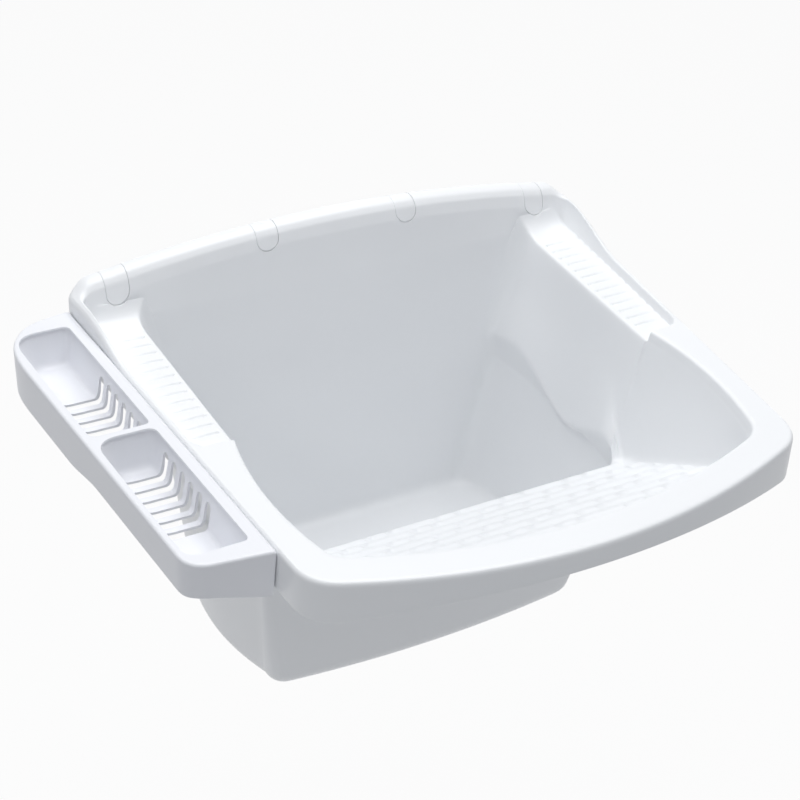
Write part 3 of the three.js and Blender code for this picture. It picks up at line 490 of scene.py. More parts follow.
# %% Upper rings, each with the radius of its bend
# in order: the skirt's lower edge, the rim from its outer edge over the ridge to the ledge, the ledge's floor
# and its edge over the bowl, the washboard's foot, the shoulder and its under-turn, the floor and the drain
UPPER = [
    (rim_ring(0, 0, skirt_bottom, -FRONT_FLARE), 1.0),
    (rim_ring(0, 0, on_ridge(0, RIM_EDGE_ROUND)), 3.0),
    (rim_ring(RIM_EDGE_ROUND * 0.8, -3, on_ridge(1, 0)), 3.0),
    (rim_ring(LEDGE_STRIP - 2.5, -12, on_ridge(2, 0), 10), 6.0),
    (opening_ring(lambda y: outer_flange(y) + 1, -3, -21, on_ridge(3, 0)), 2.6),
    (opening_ring(outer_flange, 0, -26, on_ridge(4, 1.5)), 1.8),
    (opening_ring(lambda y: outer_flange(y) - 1.5, 1, -30, into_ledge(5, 6, LEDGE_DROP)), 2.2),
    (opening_ring(ledge_inner, 1.6, -RIDGE_DEPTH + 1.5, on_ledge_level(LEDGE_DROP)), 2.4),
    (opening_ring(lambda y: ledge_inner(y) - 2, 2.6, -RIDGE_DEPTH + 1, on_ledge_level(LEDGE_DROP + 4)), 8.0),
    (foot_ring(0), 12.0),
    (shoulder_ring(0, 0, 0), 7.0),
    (shoulder_ring(0, 1.6, 4, SHOULDER_UNDER, -SHOULDER_FOOT), 3.0),
    (floor_ring(0, 0, -FLOOR_DEPTH + FLOOR_ROUND), 12.0),
    (floor_edge, 12.0),
    (drain_ring(floor_edge, DRAIN_RECESS, -FLOOR_DEPTH - 1), 1.5),
    (drain_ring(floor_edge, DRAIN_RECESS - 1, -FLOOR_DEPTH - DRAIN_RECESS_DEPTH), 0.8),
    (drain_ring(floor_edge, DRAIN_HOLE, -FLOOR_DEPTH - DRAIN_RECESS_DEPTH), 0.4),
]

# %% Lower rings


def under_crest(x, y, turn):
    return mix(ridge_top(x) - WALL, rim_top(x, y) - 5, share(turn, REAR, CORNER))


def under_front_of_crest(x, y, turn):
    return mix(ridge_top(x) - 10, -10, share(turn, REAR, CORNER))


UNDER_LEDGE = LEDGE_DROP + LEDGE_WALL
LOWER = [
    (rim_ring(WALL, -WALL, skirt_bottom, WALL - FRONT_FLARE), 1.0),
    (rim_ring(WALL, -WALL, on_ridge(0, 6)), 1.0),
    (opening_ring(lambda y: outer_flange(y) + 1.8, -WALL, -12, under_crest), 1.0),
    (opening_ring(lambda y: outer_flange(y) + 1.7, -WALL - 0.5, -23, under_front_of_crest), 0.6),
    (opening_ring(lambda y: outer_flange(y) + 1.6, -WALL, -27, into_ledge(5, 12, UNDER_LEDGE)), 0.6),
    (opening_ring(
        lambda y: ledge_inner(y) + 1.6, -1.6, -RIDGE_DEPTH + 1.5 + WALL, on_ledge_level(UNDER_LEDGE),
    ), 1.0),
    (opening_ring(
        lambda y: ledge_inner(y) + 0.6, -1, -RIDGE_DEPTH + 1 + WALL, on_ledge_level(LEDGE_DROP + 4 + WALL),
    ), 2.0),
    (foot_ring(WALL), 12.0),
    (shoulder_ring(WALL, 0, 2, SHOULDER_UNDER / 2), 8.0),
    (shoulder_ring(WALL, 1.6, 6, SHOULDER_UNDER, -SHOULDER_FOOT - 2), 8.0),
    (floor_ring(WALL, 0, -FLOOR_DEPTH + FLOOR_ROUND), 8.0),
    (floor_ring(0, FLOOR_ROUND - 2, -FLOOR_DEPTH + 0.8 - WALL), 8.0),
    (drain_ring(floor_edge, DRAIN_RECESS + WALL, -FLOOR_DEPTH - 1 - WALL), 1.0),
    (drain_ring(floor_edge, DRAIN_RECESS + WALL - 1, -FLOOR_DEPTH - DRAIN_RECESS_DEPTH - WALL), 1.0),
    (drain_ring(floor_edge, DRAIN_HOLE, -FLOOR_DEPTH - DRAIN_RECESS_DEPTH - WALL), 0.4),
]
print(len(UPPER), "rings above and", len(LOWER), "below")

# %% [markdown]
# ## From rings to a mesh
#
# Down each turn the rings make a bent line. Every bend is replaced by a short curve, and long stretches get
# rows in between. Two neighbouring rows may have different counts of points: the strip between them is then
# sewn with triangles, always taking the nearer next point. That keeps the mesh closed without wasting
# faces.

# %% Rows of points at chosen turns
ZONE_ENDS = [0, REAR, CORNER, SHOULDER, WELL, STEP, WASH, FRONT_CORNER, HALF]


def whole_ring(steps):
    """The turns of a ring, with so many steps in each zone of its half."""
    half = np.concatenate([
        np.linspace(start, end, count, endpoint=False)
        for start, end, count in zip(ZONE_ENDS, ZONE_ENDS[1:], steps)
    ] + [[HALF]])
    return np.concatenate([half, 2 * HALF - half[-2:0:-1]])


# steps in the rear, corner, shoulder, well, step, wash, front corner and front zones
PLAIN = whole_ring([24, 9, 6, 20, 6, 20, 9, 22])
BOARD = whole_ring([16, 6, 4, 14, 10, 54, 22, 68])

GROOVES = 13
GROOVE_PITCH = 14.4
GROOVE_FIRST = 74
GROOVE_STEPS = (-7.2, -5, -3.4, -2.4, -1.6, -0.8, 0, 0.8, 1.6, 2.4, 3.4, 5)
GROOVES_END = 254
BEYOND_STEP = 1.5  # between the points in front of the last groove


def ledge_turns():
    """The turns of a ring whose points lie on the middles, edges and lands of the ledge's grooves."""
    lines = GROOVE_FIRST + GROOVE_PITCH * np.arange(1, GROOVES)
    at_grooves = (lines[:, None] + GROOVE_STEPS).ravel()
    beyond = np.arange(GROOVES_END, LEDGE_FRONT - BEYOND_STEP, BEYOND_STEP)
    from_wall = np.concatenate([at_grooves, beyond])
    from_wall = from_wall[from_wall > LEDGE_REAR + 0.3]  # the plain turns hold the ledge's first point
    ledge_length = LEDGE_FRONT - STEP_HALF - LEDGE_REAR
    on_ledge = SHOULDER + (from_wall - LEDGE_REAR) / ledge_length * (WELL - SHOULDER)
    plain = whole_ring([24, 18, 40, 1, 10, 22, 9, 22])
    half = np.sort(np.concatenate([plain[plain <= HALF], on_ledge]))
    return np.concatenate([half, 2 * HALF - half[-2:0:-1]])


LEDGES = ledge_turns()
BEND_SHARE = 0.45  # of a straight stretch that the bend at its end may take


def rounded(rings, number, t, at):
    """A point on the curve that rounds the bend at a ring."""
    count = len(rings)
    before, here, after = (rings[(number + k) % count][0](at) for k in (-1, 0, 1))
    radius = rings[number % count][1]
    to_before, to_after = before - here, after - here
    length_before = np.linalg.norm(to_before, axis=1, keepdims=True) + 1e-9
    length_after = np.linalg.norm(to_after, axis=1, keepdims=True) + 1e-9
    start = here + to_before / length_before * np.minimum(radius, BEND_SHARE * length_before)
    end = here + to_after / length_after * np.minimum(radius, BEND_SHARE * length_after)
    return mix(mix(start, here, t), mix(here, end, t), t)


def rows_through(rings, bends, spans, finer):
    """All rows of a skin: bends[i] steps round ring i, then spans[i] steps on to the next ring.

    A span may also be a list, of the shares of the way at which its rows lie.
    """
    rows = []
    for number in range(len(rings)):
        at = finer.get(number, PLAIN)
        for k in range(bends[number] + 1):
            rows.append((number, at, rounded(rings, number, k / bends[number], at)))
        at = finer.get(number + 0.5, PLAIN)
        span = spans[number]
        start, end = rounded(rings, number, 1, at), rounded(rings, number + 1, 0, at)
        for way in span if isinstance(span, list) else [k / span for k in range(1, span)]:
            rows.append((number + 0.5, at, mix(start, end, way)))
    return rows


def sew(rows):
    """Faces of the strips between neighbouring rows, the last row sewn to the first."""
    first = np.cumsum([0] + [len(at) for _, at, _ in rows])
    faces = []
    for r, (_, at, _) in enumerate(rows):
        other = (r + 1) % len(rows)
        there = rows[other][1]
        a0, b0, a_count, b_count = first[r], first[other], len(at), len(there)
        if a_count == b_count:
            i = np.arange(a_count)
            j = (i + 1) % a_count
            faces += np.stack([a0 + i, a0 + j, b0 + j, b0 + i], axis=1).tolist()
            continue
        a_turns, b_turns = np.append(at, 2 * HALF), np.append(there, 2 * HALF)
        i = j = 0
        while i < a_count or j < b_count:
            here_a, here_b = a0 + i % a_count, b0 + j % b_count
            if j == b_count or (i < a_count and a_turns[i + 1] <= b_turns[j + 1]):
                faces.append([here_a, a0 + (i + 1) % a_count, here_b])
                i += 1
            else:
                faces.append([here_a, b0 + (j + 1) % b_count, here_b])
                j += 1
    return faces


# %% A mesh builder that every piece uses
MERGE_WITHIN, SLIVER = 2e-7, 1e-7  # metres


def put_mesh(piece, mesh):
    old = piece.data
    piece.data = mesh
    bpy.data.meshes.remove(old)


def make_piece(name, points, faces, marks=None):
    """A closed piece from points in millimetres. Marks are numbers kept on the points for the node trees."""
    mesh = bpy.data.meshes.new(name)
    mesh.from_pydata((np.asarray(points, float) * MM).tolist(), [], [list(face) for face in faces])
    for mark, values in (marks or {}).items():
        mesh.attributes.new(mark, "FLOAT", "POINT").data.foreach_set("value", np.asarray(values, np.float32))
    shape = bmesh.new()
    shape.from_mesh(mesh)
    bmesh.ops.remove_doubles(shape, verts=shape.verts, dist=MERGE_WITHIN)
    bmesh.ops.dissolve_degenerate(shape, edges=shape.edges, dist=SLIVER)
    bmesh.ops.recalc_face_normals(shape, faces=shape.faces)
    shape.to_mesh(mesh)
    shape.free()
    piece = bpy.data.objects.new(name, mesh)
    bpy.context.scene.collection.objects.link(piece)
    return piece


def give(piece, finish):
    """Make a finish the piece's only material."""
    piece.data.materials.clear()
    piece.data.materials.append(finish)


def triangles(piece):
    return sum(len(face.vertices) - 2 for face in piece.data.polygons)


def bake(piece):
    """Turn the result of a piece's modifiers into its plain mesh."""
    graph = bpy.context.evaluated_depsgraph_get()
    mesh = bpy.data.meshes.new_from_object(piece.evaluated_get(graph), depsgraph=graph)
    piece.modifiers.clear()
    put_mesh(piece, mesh)


def cut(piece, tool, way="DIFFERENCE"):
    """Cut a tool out of a piece, or weld it on with UNION. The tool is used up."""
    knife = piece.modifiers.new("knife", "BOOLEAN")
    knife.operation = way
    knife.object = tool
    knife.solver = "MANIFOLD"
    bake(piece)
    bpy.data.objects.remove(tool)


def band_faces(rings, count):
    """The faces between neighbouring closed lines, each of as many points."""
    return [
        [r * count + i, r * count + (i + 1) % count, (r + 1) * count + (i + 1) % count, (r + 1) * count + i]
        for r in range(rings - 1) for i in range(count)
    ]


def polish(piece, angle=35, weighted=False):
    """Smooth shading, with creases kept where faces meet at more than an angle."""
    piece.data.shade_smooth()
    piece.data.set_sharp_from_angle(angle=math.radians(angle))
    if weighted:
        balance = piece.modifiers.new("balance", "WEIGHTED_NORMAL")
        balance.keep_sharp = True
        bake(piece)


# %% The basin's bare skin
skin_rings = UPPER + LOWER[::-1]
UPPER_BENDS = [3, 5, 5, 4, 5, 4, 5, 5, 4, 6, 6, 4, 6, 6, 4, 3, 2]
LOWER_BENDS = [2, 2, 2, 2, 2, 2, 2, 4, 3, 3, 3, 3, 2, 2, 2]
# shares of the way over the ledge's floor, closer where the grooves' dots lie
ON_LEDGE = [
    0.05, 0.12, 0.2, 0.29, 0.38, 0.47, 0.56, 0.64, 0.7,
    0.745, 0.78, 0.81, 0.835, 0.86, 0.885, 0.91, 0.935, 0.965,
]
UPPER_SPANS = [4, 1, 1, 2, 1, 1, ON_LEDGE, 1, 8, 68, 1, 10, 3, 4, 1, 2, 1]
LOWER_SPANS = [1, 1, 2, 8, 3, 6, 8, 2, 4, 1, 1, 2, 1, 2, 4]
LEDGE_RING, BOARD_RING = 6, 9
FINER = {LEDGE_RING + k: LEDGES for k in (0, 0.5, 1)} | {BOARD_RING + k: BOARD for k in (0, 0.5, 1)}

rows = rows_through(skin_rings, UPPER_BENDS + LOWER_BENDS[::-1], UPPER_SPANS + LOWER_SPANS, FINER)
skin_points = np.concatenate([points for _, _, points in rows])
skin_turns = np.concatenate([np.where(at <= HALF, at, 2 * HALF - at) for _, at, _ in rows])
skin_levels = np.concatenate([np.full(len(at), number, float) for number, at, _ in rows])
print("basin skin:", len(rows), "rows,", len(skin_points), "points")

# %% [markdown]
# ## Number sockets
#
# The ribs and grooves follow rules: so many rows, at a pitch, each so wide and so high. Geometry Nodes can
# raise them on the skin from a handful of named sizes. A tree of Math nodes is hard to read in a script, so
# this small class lets numbers in a tree be added and compared with ordinary signs.

# %% Numbers in a node tree


class Number:
    """A number on its way through a node tree."""

    def __init__(self, tree, socket):
        self.tree, self.socket = tree, socket

    def then(self, operation, *others):
        node = self.tree.nodes.new("ShaderNodeMath")
        node.operation = operation
        for value, entry in zip((self, *others), node.inputs):
            feed(self.tree, value, entry)
        return Number(self.tree, node.outputs[0])

    def __add__(self, other):
        return self.then("ADD", other)

    def __sub__(self, other):
        return self.then("SUBTRACT", other)

    def __mul__(self, other):
        return self.then("MULTIPLY", other)

    def __truediv__(self, other):
        return self.then("DIVIDE", other)

    def least(self, other):
        return self.then("MINIMUM", other)

    def most(self, other):
        return self.then("MAXIMUM", other)

    def eased(self):
        """0 below 0, 1 above 1, and a soft S between."""
        t = self.most(0).least(1)
        return t * t * (t * -2 + 3)


def feed(tree, value, entry):
    """Link a Number to a socket, or set the socket to a plain value."""
    if isinstance(value, Number):
        tree.links.new(value.socket, entry)
    else:
        entry.default_value = value


def start_tree(name, **sizes):
    """A tree with a geometry, named sizes and a material going in, and its geometry coming out."""
    tree = bpy.data.node_groups.new(name, "GeometryNodeTree")
    tree.interface.new_socket("Geometry", in_out="INPUT", socket_type="NodeSocketGeometry")
    for label, value in sizes.items():
        tree.interface.new_socket(label, in_out="INPUT", socket_type="NodeSocketFloat").default_value = value
    tree.interface.new_socket("Finish", in_out="INPUT", socket_type="NodeSocketMaterial")
    tree.interface.new_socket("Geometry", in_out="OUTPUT", socket_type="NodeSocketGeometry")
    inward = tree.nodes.new("NodeGroupInput")
    return tree, inward, {label: Number(tree, inward.outputs[label]) for label in sizes}


def end_tree(tree, inward, geometry):
    """Every tree ends in Realize Instances and Set Material, so that its result is a plain mesh."""
    real = tree.nodes.new("GeometryNodeRealizeInstances")
    finish = tree.nodes.new("GeometryNodeSetMaterial")
    outward = tree.nodes.new("NodeGroupOutput")
    tree.links.new(geometry, real.inputs[0])
    tree.links.new(real.outputs[0], finish.inputs["Geometry"])
    tree.links.new(inward.outputs["Finish"], finish.inputs["Material"])
    tree.links.new(finish.outputs[0], outward.inputs[0])
    return tree


def place_of(tree):
    """The x, y and z of the point that the tree is working on."""
    position = tree.nodes.new("GeometryNodeInputPosition")
    split = tree.nodes.new("ShaderNodeSeparateXYZ")
    tree.links.new(position.outputs[0], split.inputs[0])
    return [Number(tree, socket) for socket in split.outputs]


def mark_of(tree, name):
    mark = tree.nodes.new("GeometryNodeInputNamedAttribute")
    mark.data_type = "FLOAT"
    mark.inputs["Name"].default_value = name
    return Number(tree, mark.outputs[0])


def shift(tree, geometry, along):
    """Move every point by three numbers."""
    join = tree.nodes.new("ShaderNodeCombineXYZ")
    for value, entry in zip(along, join.inputs):
        feed(tree, value, entry)
    move = tree.nodes.new("GeometryNodeSetPosition")
    tree.links.new(geometry, move.inputs["Geometry"])
    tree.links.new(join.outputs[0], move.inputs["Offset"])
    return move.outputs[0]


def apply_tree(piece, tree, finish, **sizes):
    """Run a tree on a piece. Its inputs are set by their identifiers, before it is first worked out."""
    run = piece.modifiers.new(tree.name, "NODES")
    run.node_group = tree
    for item in tree.interface.items_tree:
        if item.in_out == "INPUT" and item.name in sizes:
            run[item.identifier] = float(sizes[item.name])
        if item.in_out == "INPUT" and item.name == "Finish":
            run[item.identifier] = finish
    bake(piece)


# %% [markdown]
# ## Finishes
#
# The tank is moulded in glossy white plastic with a cool tinge. Such a skin is never quite flat or quite
# even: it has a faint orange peel, slow waves where it shrank, and its gloss varies. Two noises on Object
# coordinates give the waves and the peel through Bump, and two more vary colour and roughness a little. An
# image texture would need unwrapping and would show seams, so noise is the better way here.

# %% Moulded plastic, rubber and steel


def finish_tree(name):
    finish = bpy.data.materials.new(name)
    finish.use_nodes = True
    tree = finish.node_tree
    shader = tree.nodes["Principled BSDF"]
    where = tree.nodes.new("ShaderNodeTexCoord").outputs["Object"]
    return finish, tree, shader, where


def noise(tree, where, scale, detail):
    made = tree.nodes.new("ShaderNodeTexNoise")
    made.inputs["Scale"].default_value = scale
    made.inputs["Detail"].default_value = detail
    tree.links.new(where, made.inputs["Vector"])
    return Number(tree, made.outputs["Fac"])


def tint(tree, shader, amount, dark, light):
    blend = tree.nodes.new("ShaderNodeMix")
    blend.data_type = "RGBA"
    blend.inputs["A"].default_value = (*dark, 1)
    blend.inputs["B"].default_value = (*light, 1)
    tree.links.new(amount.socket, blend.inputs["Factor"])
    tree.links.new(blend.outputs["Result"], shader.inputs["Base Color"])


def emboss(tree, shader, height, depth):
    bump = tree.nodes.new("ShaderNodeBump")
    bump.inputs["Strength"].default_value = 1
    bump.inputs["Distance"].default_value = depth
    tree.links.new(height.socket, bump.inputs["Height"])
    tree.links.new(bump.outputs["Normal"], shader.inputs["Normal"])


GLOSS_CHANGE = 0.05
SKIN_DEPTH = 0.0001  # metres


def moulded_plastic(name, dark, light, roughness, peel):
    finish, tree, shader, where = finish_tree(name)
    cloud = noise(tree, where, scale=5, detail=1)
    tint(tree, shader, cloud, dark, light)
    gloss = noise(tree, where, scale=12, detail=1) * GLOSS_CHANGE + (roughness - GLOSS_CHANGE / 2)
    tree.links.new(gloss.socket, shader.inputs["Roughness"])
    waves = noise(tree, where, scale=14, detail=0)
    grain = noise(tree, where, scale=1100, detail=1) * peel
    emboss(tree, shader, waves + grain, SKIN_DEPTH)
    shader.inputs["IOR"].default_value = 1.49
    return finish


def soft_rubber(name):
    finish, tree, shader, where = finish_tree(name)
    dust = noise(tree, where, scale=160, detail=5)
    tint(tree, shader, (dust - 0.45) / 0.3, (0.012, 0.012, 0.013), (0.03, 0.03, 0.032))
    rough = noise(tree, where, scale=90, detail=3) * 0.2 + 0.5
    tree.links.new(rough.socket, shader.inputs["Roughness"])
    emboss(tree, shader, noise(tree, where, scale=2200, detail=3), SKIN_DEPTH)
    shader.inputs["IOR"].default_value = 1.5
    return finish


def turned_steel(name):
    """Steel with the fine scratches of its turning or stamping, stretched along X."""
    finish, tree, shader, where = finish_tree(name)
    stretch = tree.nodes.new("ShaderNodeMapping")
    stretch.inputs["Scale"].default_value = (0.15, 1, 1)
    tree.links.new(where, stretch.inputs["Vector"])
    scratches = noise(tree, stretch.outputs["Vector"], scale=3000, detail=3)
    tint(tree, shader, scratches, (0.5, 0.51, 0.53), (0.66, 0.67, 0.69))
    rough = noise(tree, where, scale=200, detail=3) * 0.1 + 0.29
    tree.links.new(rough.socket, shader.inputs["Roughness"])
    emboss(tree, shader, scratches, SKIN_DEPTH * 0.3)
    shader.inputs["Metallic"].default_value = 1
    return finish


COOL_WHITES = (0.89, 0.905, 0.92), (0.925, 0.935, 0.95)  # the darker and the lighter of the tank's two tints
TANK_WHITE = moulded_plastic("glossy_white_tank", *COOL_WHITES, roughness=0.32, peel=0.05)
TRAY_WHITE = moulded_plastic(
    "glossy_white_tray", (0.86, 0.87, 0.905), (0.89, 0.90, 0.935), roughness=0.33, peel=0.05,
)
COVER_WHITE = moulded_plastic("glossy_white_cover", *COOL_WHITES, roughness=0.32, peel=0.04)
WASTE_WHITE = moulded_plastic(
    "satin_white_waste", (0.70, 0.71, 0.72), (0.75, 0.76, 0.77), roughness=0.42, peel=0.1,
)
RUBBER = soft_rubber("black_rubber_skin")
STEEL = turned_steel("bright_steel")
print("finishes:", [m.name for m in (TANK_WHITE, TRAY_WHITE, COVER_WHITE, WASTE_WHITE, RUBBER, STEEL)])

# %% [markdown]
# ## Washboard ribs
#
# The slope in front of the bowl carries rows of low rounded ribs, long and short in turn, with a small
# break between them. Each point of the slope works out which row it is nearest to, how far along a rib it
# lies, and is lifted square to the slope. The sizes are the tree's inputs, so a maker can try another pitch
# in a moment.

# %% A tree that raises the ribs
RIB_ROWS = 8
RIB_PITCH = 20.5
RIB_FIRST = 303
RIB_LONG, RIB_SHORT, RIB_BREAK = 47, 18, 5
RIB_WIDTH, RIB_TOP, RIB_HEIGHT = 19, 1, 2.2
RIB_END, RIB_END_SHARE = 3, 0.35  # how long a rib's end rises, and the share of it that is cut short
RIB_SIDE_MARGIN, RIB_FRONT_MARGIN = 4, 12

rib_tree, inward, size = start_tree(
    "washboard_ribs", First=0, Pitch=0, Rows=0, Width=0, Top=0, Height=0, Long=0, Short=0, Break=0, End=0,
    Slope=0,
)
x, y, z = place_of(rib_tree)
from_wall = y * -1
row = ((from_wall - size["First"]) / size["Pitch"]).then("ROUND").most(0).least(size["Rows"] - 1)
off_row = (from_wall - size["First"] - row * size["Pitch"]).then("ABSOLUTE")
across = ((size["Width"] * 0.5 - off_row) / (size["Width"] * 0.5 - size["Top"] * 0.5)).eased()
pair = size["Long"] + size["Short"] + size["Break"] * 2
along = (x + pair * 3 + row.then("MODULO", 2) * pair * 0.5).then("MODULO", pair)
in_long = along.least(size["Long"] - along)
short_from = size["Long"] + size["Break"]
in_short = (along - short_from).least(short_from + size["Short"] - along)
inside = in_long.most(in_short).least(mark_of(rib_tree, "from_edge"))
end_rise = (inside / size["End"] + RIB_END_SHARE).eased()
height = end_rise * across * size["Height"] * mark_of(rib_tree, "board")
upright = (size["Slope"] * size["Slope"] + 1).then("SQRT")
lifted = shift(
    rib_tree, inward.outputs["Geometry"], [0, height * size["Slope"] / upright, height / upright],
)
end_tree(rib_tree, inward, lifted)
print("rib tree:", len(rib_tree.nodes), "nodes")

# %% [markdown]
# ## Soap ledge grooves
#
# Thirteen narrow grooves cross each soap ledge so that a bar of soap dries. A groove starts in a small
# round dot near the bowl, then narrows and fades towards the rim. The lands between are arched more and
# more on the way there, so their ends scallop the foot of the rim. The same idea as for the ribs works,
# with a drop straight down.

# %% A tree that presses the grooves
GROOVE_INSET = 6
GROOVE_HALF, GROOVE_DEPTH, GROOVE_FADE = 2, 1.5, 32
GROOVE_NARROWS = 0.3  # by this share towards the rim
DOT_RADIUS, DOT_DEPTH = 2.4, 1.6
LAND_CROWN = 1.2

groove_tree, inward, size = start_tree(
    "ledge_grooves", First=0, Pitch=0, Grooves=0, Half=0, Depth=0, Dot=0, DotDepth=0, Fade=0, Crown=0,
)
x, y, z = place_of(groove_tree)
steps = (y * -1 - size["First"]) / size["Pitch"]
nearest = steps.then("ROUND").most(0).least(size["Grooves"] - 1)
off_line = (steps - nearest) * size["Pitch"]
from_dot = mark_of(groove_tree, "from_dot")
behind = from_dot.least(0)
far = (behind * behind + off_line * off_line).then("SQRT")
outward = (from_dot / size["Fade"]).most(0).least(1)
half_here = size["Half"] * (outward * -GROOVE_NARROWS + 1)
groove = (far / half_here * -1 + 1).eased() * (outward * -1 + 1.2).eased()
off_dot = (from_dot * from_dot + off_line * off_line).then("SQRT")
dot = (off_dot / size["Dot"] * -1 + 1).eased() * size["DotDepth"]
land = (off_line / size["Pitch"]).then("ABSOLUTE").least(1) * 2 - 1
crown = (land * land * -1 + 1) * (outward + 0.15).eased() * size["Crown"]
sunk = (crown - groove * size["Depth"] - dot) * mark_of(groove_tree, "ledge")
end_tree(groove_tree, inward, shift(groove_tree, inward.outputs["Geometry"], [0, 0, sunk]))
print("groove tree:", len(groove_tree.nodes), "nodes")

# %% Ribs and grooves on the basin
aside, off_wall = np.abs(skin_points[:, 0]), skin_points[:, 1]
on_board = (skin_levels == BOARD_RING + 0.5) & (skin_turns > STEP + 0.5)
beside_bowl = (skin_turns > CORNER) & (skin_turns < WELL)
up_the_bend = np.clip((skin_points[:, 2] + LEDGE_DROP) / UPPER[LEDGE_RING][1], 0, 1)
on_ledge = beside_bowl * np.select(
    [skin_levels == LEDGE_RING + 0.5, skin_levels == LEDGE_RING],
    [np.ones_like(up_the_bend), 1 - up_the_bend], 0,
)
from_edge = np.minimum(
    wash_foot(off_wall) - aside - RIB_SIDE_MARGIN, off_wall - front_opening(aside) - RIB_FRONT_MARGIN,
)
from_dot = aside - ledge_inner(off_wall) - GROOVE_INSET

basin = make_piece("tank_basin", skin_points, sew(rows), {
    "board": on_board, "ledge": on_ledge, "from_edge": from_edge * MM, "from_dot": from_dot * MM,
})
apply_tree(
    basin, rib_tree, TANK_WHITE, First=RIB_FIRST * MM, Pitch=RIB_PITCH * MM, Rows=RIB_ROWS,
    Width=RIB_WIDTH * MM, Top=RIB_TOP * MM, Height=RIB_HEIGHT * MM, Long=RIB_LONG * MM,
    Short=RIB_SHORT * MM, Break=RIB_BREAK * MM, End=RIB_END * MM, Slope=WASH_SLOPE,
)
apply_tree(
    basin, groove_tree, TANK_WHITE, First=GROOVE_FIRST * MM, Pitch=GROOVE_PITCH * MM, Grooves=GROOVES,
    Half=GROOVE_HALF * MM, Depth=GROOVE_DEPTH * MM, Dot=DOT_RADIUS * MM, DotDepth=DOT_DEPTH * MM,
    Fade=GROOVE_FADE * MM, Crown=LAND_CROWN * MM,
)
print("basin with ribs and grooves:", triangles(basin), "triangles")

# %% [markdown]
# ## Turned shapes
#
# Screws, washers, gaskets and the waste are round about an axis. Each is an outline of radius and height,
# with its corners softened, spun round in code. Screw and Spin modifiers do the same, but code closes the
# poles.

# %% Outlines and turning


def soften(points, radii, steps=3, closed=True):
    """An outline with its corners rounded."""
    made = []
    count = len(points)
    points = [np.asarray(point, float) for point in points]
    for i, here in enumerate(points):
        if radii[i] == 0 or (not closed and i in (0, count - 1)):
            made.append(here)
            continue
        before, after = points[i - 1], points[(i + 1) % count]
        reach = [min(radii[i], BEND_SHARE * np.linalg.norm(other - here)) for other in (before, after)]
        start = here + (before - here) / np.linalg.norm(before - here) * reach[0]
        end = here + (after - here) / np.linalg.norm(after - here) * reach[1]
        made += [mix(mix(start, here, t), mix(here, end, t), t) for t in np.linspace(0, 1, steps + 1)]
    return np.array(made)


def spin(name, outline, steps, marks=None):
    """Turn an outline of (radius, height) about Z. Points on the axis become poles."""
    outline = np.asarray([tuple(point) for point in outline], float)
    count = len(outline)
    angles = np.arange(steps) * 2 * np.pi / steps
    points = [(r * math.cos(a), r * math.sin(a), h) for a in angles for r, h in outline]
    faces = []
    for k in range(steps):
        other = (k + 1) % steps
        for i in range(count):
            j = (i + 1) % count
            if outline[i][0] == 0 and outline[j][0] == 0:
                continue
            faces.append([k * count + i, other * count + i, other * count + j, k * count + j])
    repeated = {mark: list(values) * steps for mark, values in (marks or {}).items()}
    return make_piece(name, points, faces, repeated)


def place(piece, turn=None, at=(0, 0, 0)):
    """Turn a piece's mesh and move it, so that the object itself stays at the origin."""
    matrix = Matrix.Translation(Vector(at) * MM)
    if turn is not None:
        matrix = matrix @ turn.to_4x4()
    piece.data.transform(matrix)
    return piece


def join(pieces):
    """One object from several closed pieces that don't touch."""
    shape = bmesh.new()
    for piece in pieces:
        shape.from_mesh(piece.data)
    shape.to_mesh(pieces[0].data)
    shape.free()
    for piece in pieces[1:]:
        bpy.data.objects.remove(piece)
    return pieces[0]


def rod(radius, start, end, steps=48):
    return spin("tool", [(0, start), (radius, start), (radius, end), (0, end)], steps)


TO_WALL = Matrix.Rotation(math.radians(-90), 3, "X")  # turns +Z to +Y, towards the wall


def block(low, high):
    """A plain cutter between two corners."""
    (x0, y0, z0), (x1, y1, z1) = low, high
    points = [(x, y, z) for x in (x0, x1) for y in (y0, y1) for z in (z0, z1)]
    faces = [[0, 1, 3, 2], [4, 6, 7, 5], [0, 4, 5, 1], [2, 3, 7, 6], [0, 2, 6, 4], [1, 5, 7, 3]]
    return make_piece("tool", points, faces)


# %% [markdown]
# ## Snap covers
#
# Four covers wrap over the ridge and hide the wall screws. Each is a strip that follows the ridge's section
# and ends in a round tongue, with a fine shadow gap all round. The strip is drawn flat as nested outlines,
# from its edge to its middle line, and then laid on the ridge by its distance along the section. The same
# function makes the seat that is cut into the ridge, so the gap is even.

# %% The ridge's section as a smooth line
COVER_WIDTH = 24
COVER_THICKNESS = 1.8
COVER_EDGE = 0.6
# each fixing's place along the wall, and the length of its cover's tongue below the crest
FIXINGS = [(-242, 29), (-80, 23), (80, 23), (242, 29)]
SECTION_ROUNDS = [0, 3, 3, 6, 2.6, 2.6, 2.2, 0]
SECTION_STEPS = 8
SECTION_START = 1 + SECTION_STEPS // 2  # the point in the middle of the rear edge's bend
LOOK_AHEAD = 0.4  # for the section's direction


@functools.cache
def section_line(x):
    """The ridge's outer line over a place, from the wall face over the crest to the ledge's level."""
    top = float(ridge_top(x))
    corners = [(0, -20)] + [(y, top - fall) for y, fall in RIDGE_LINES] + [(-RIDGE_DEPTH, -LEDGE_DROP)]
    line = soften(corners, SECTION_ROUNDS, steps=SECTION_STEPS, closed=False)
    lengths = np.concatenate([[0], np.cumsum(np.linalg.norm(np.diff(line, axis=0), axis=1))])
    return line, lengths - lengths[SECTION_START]


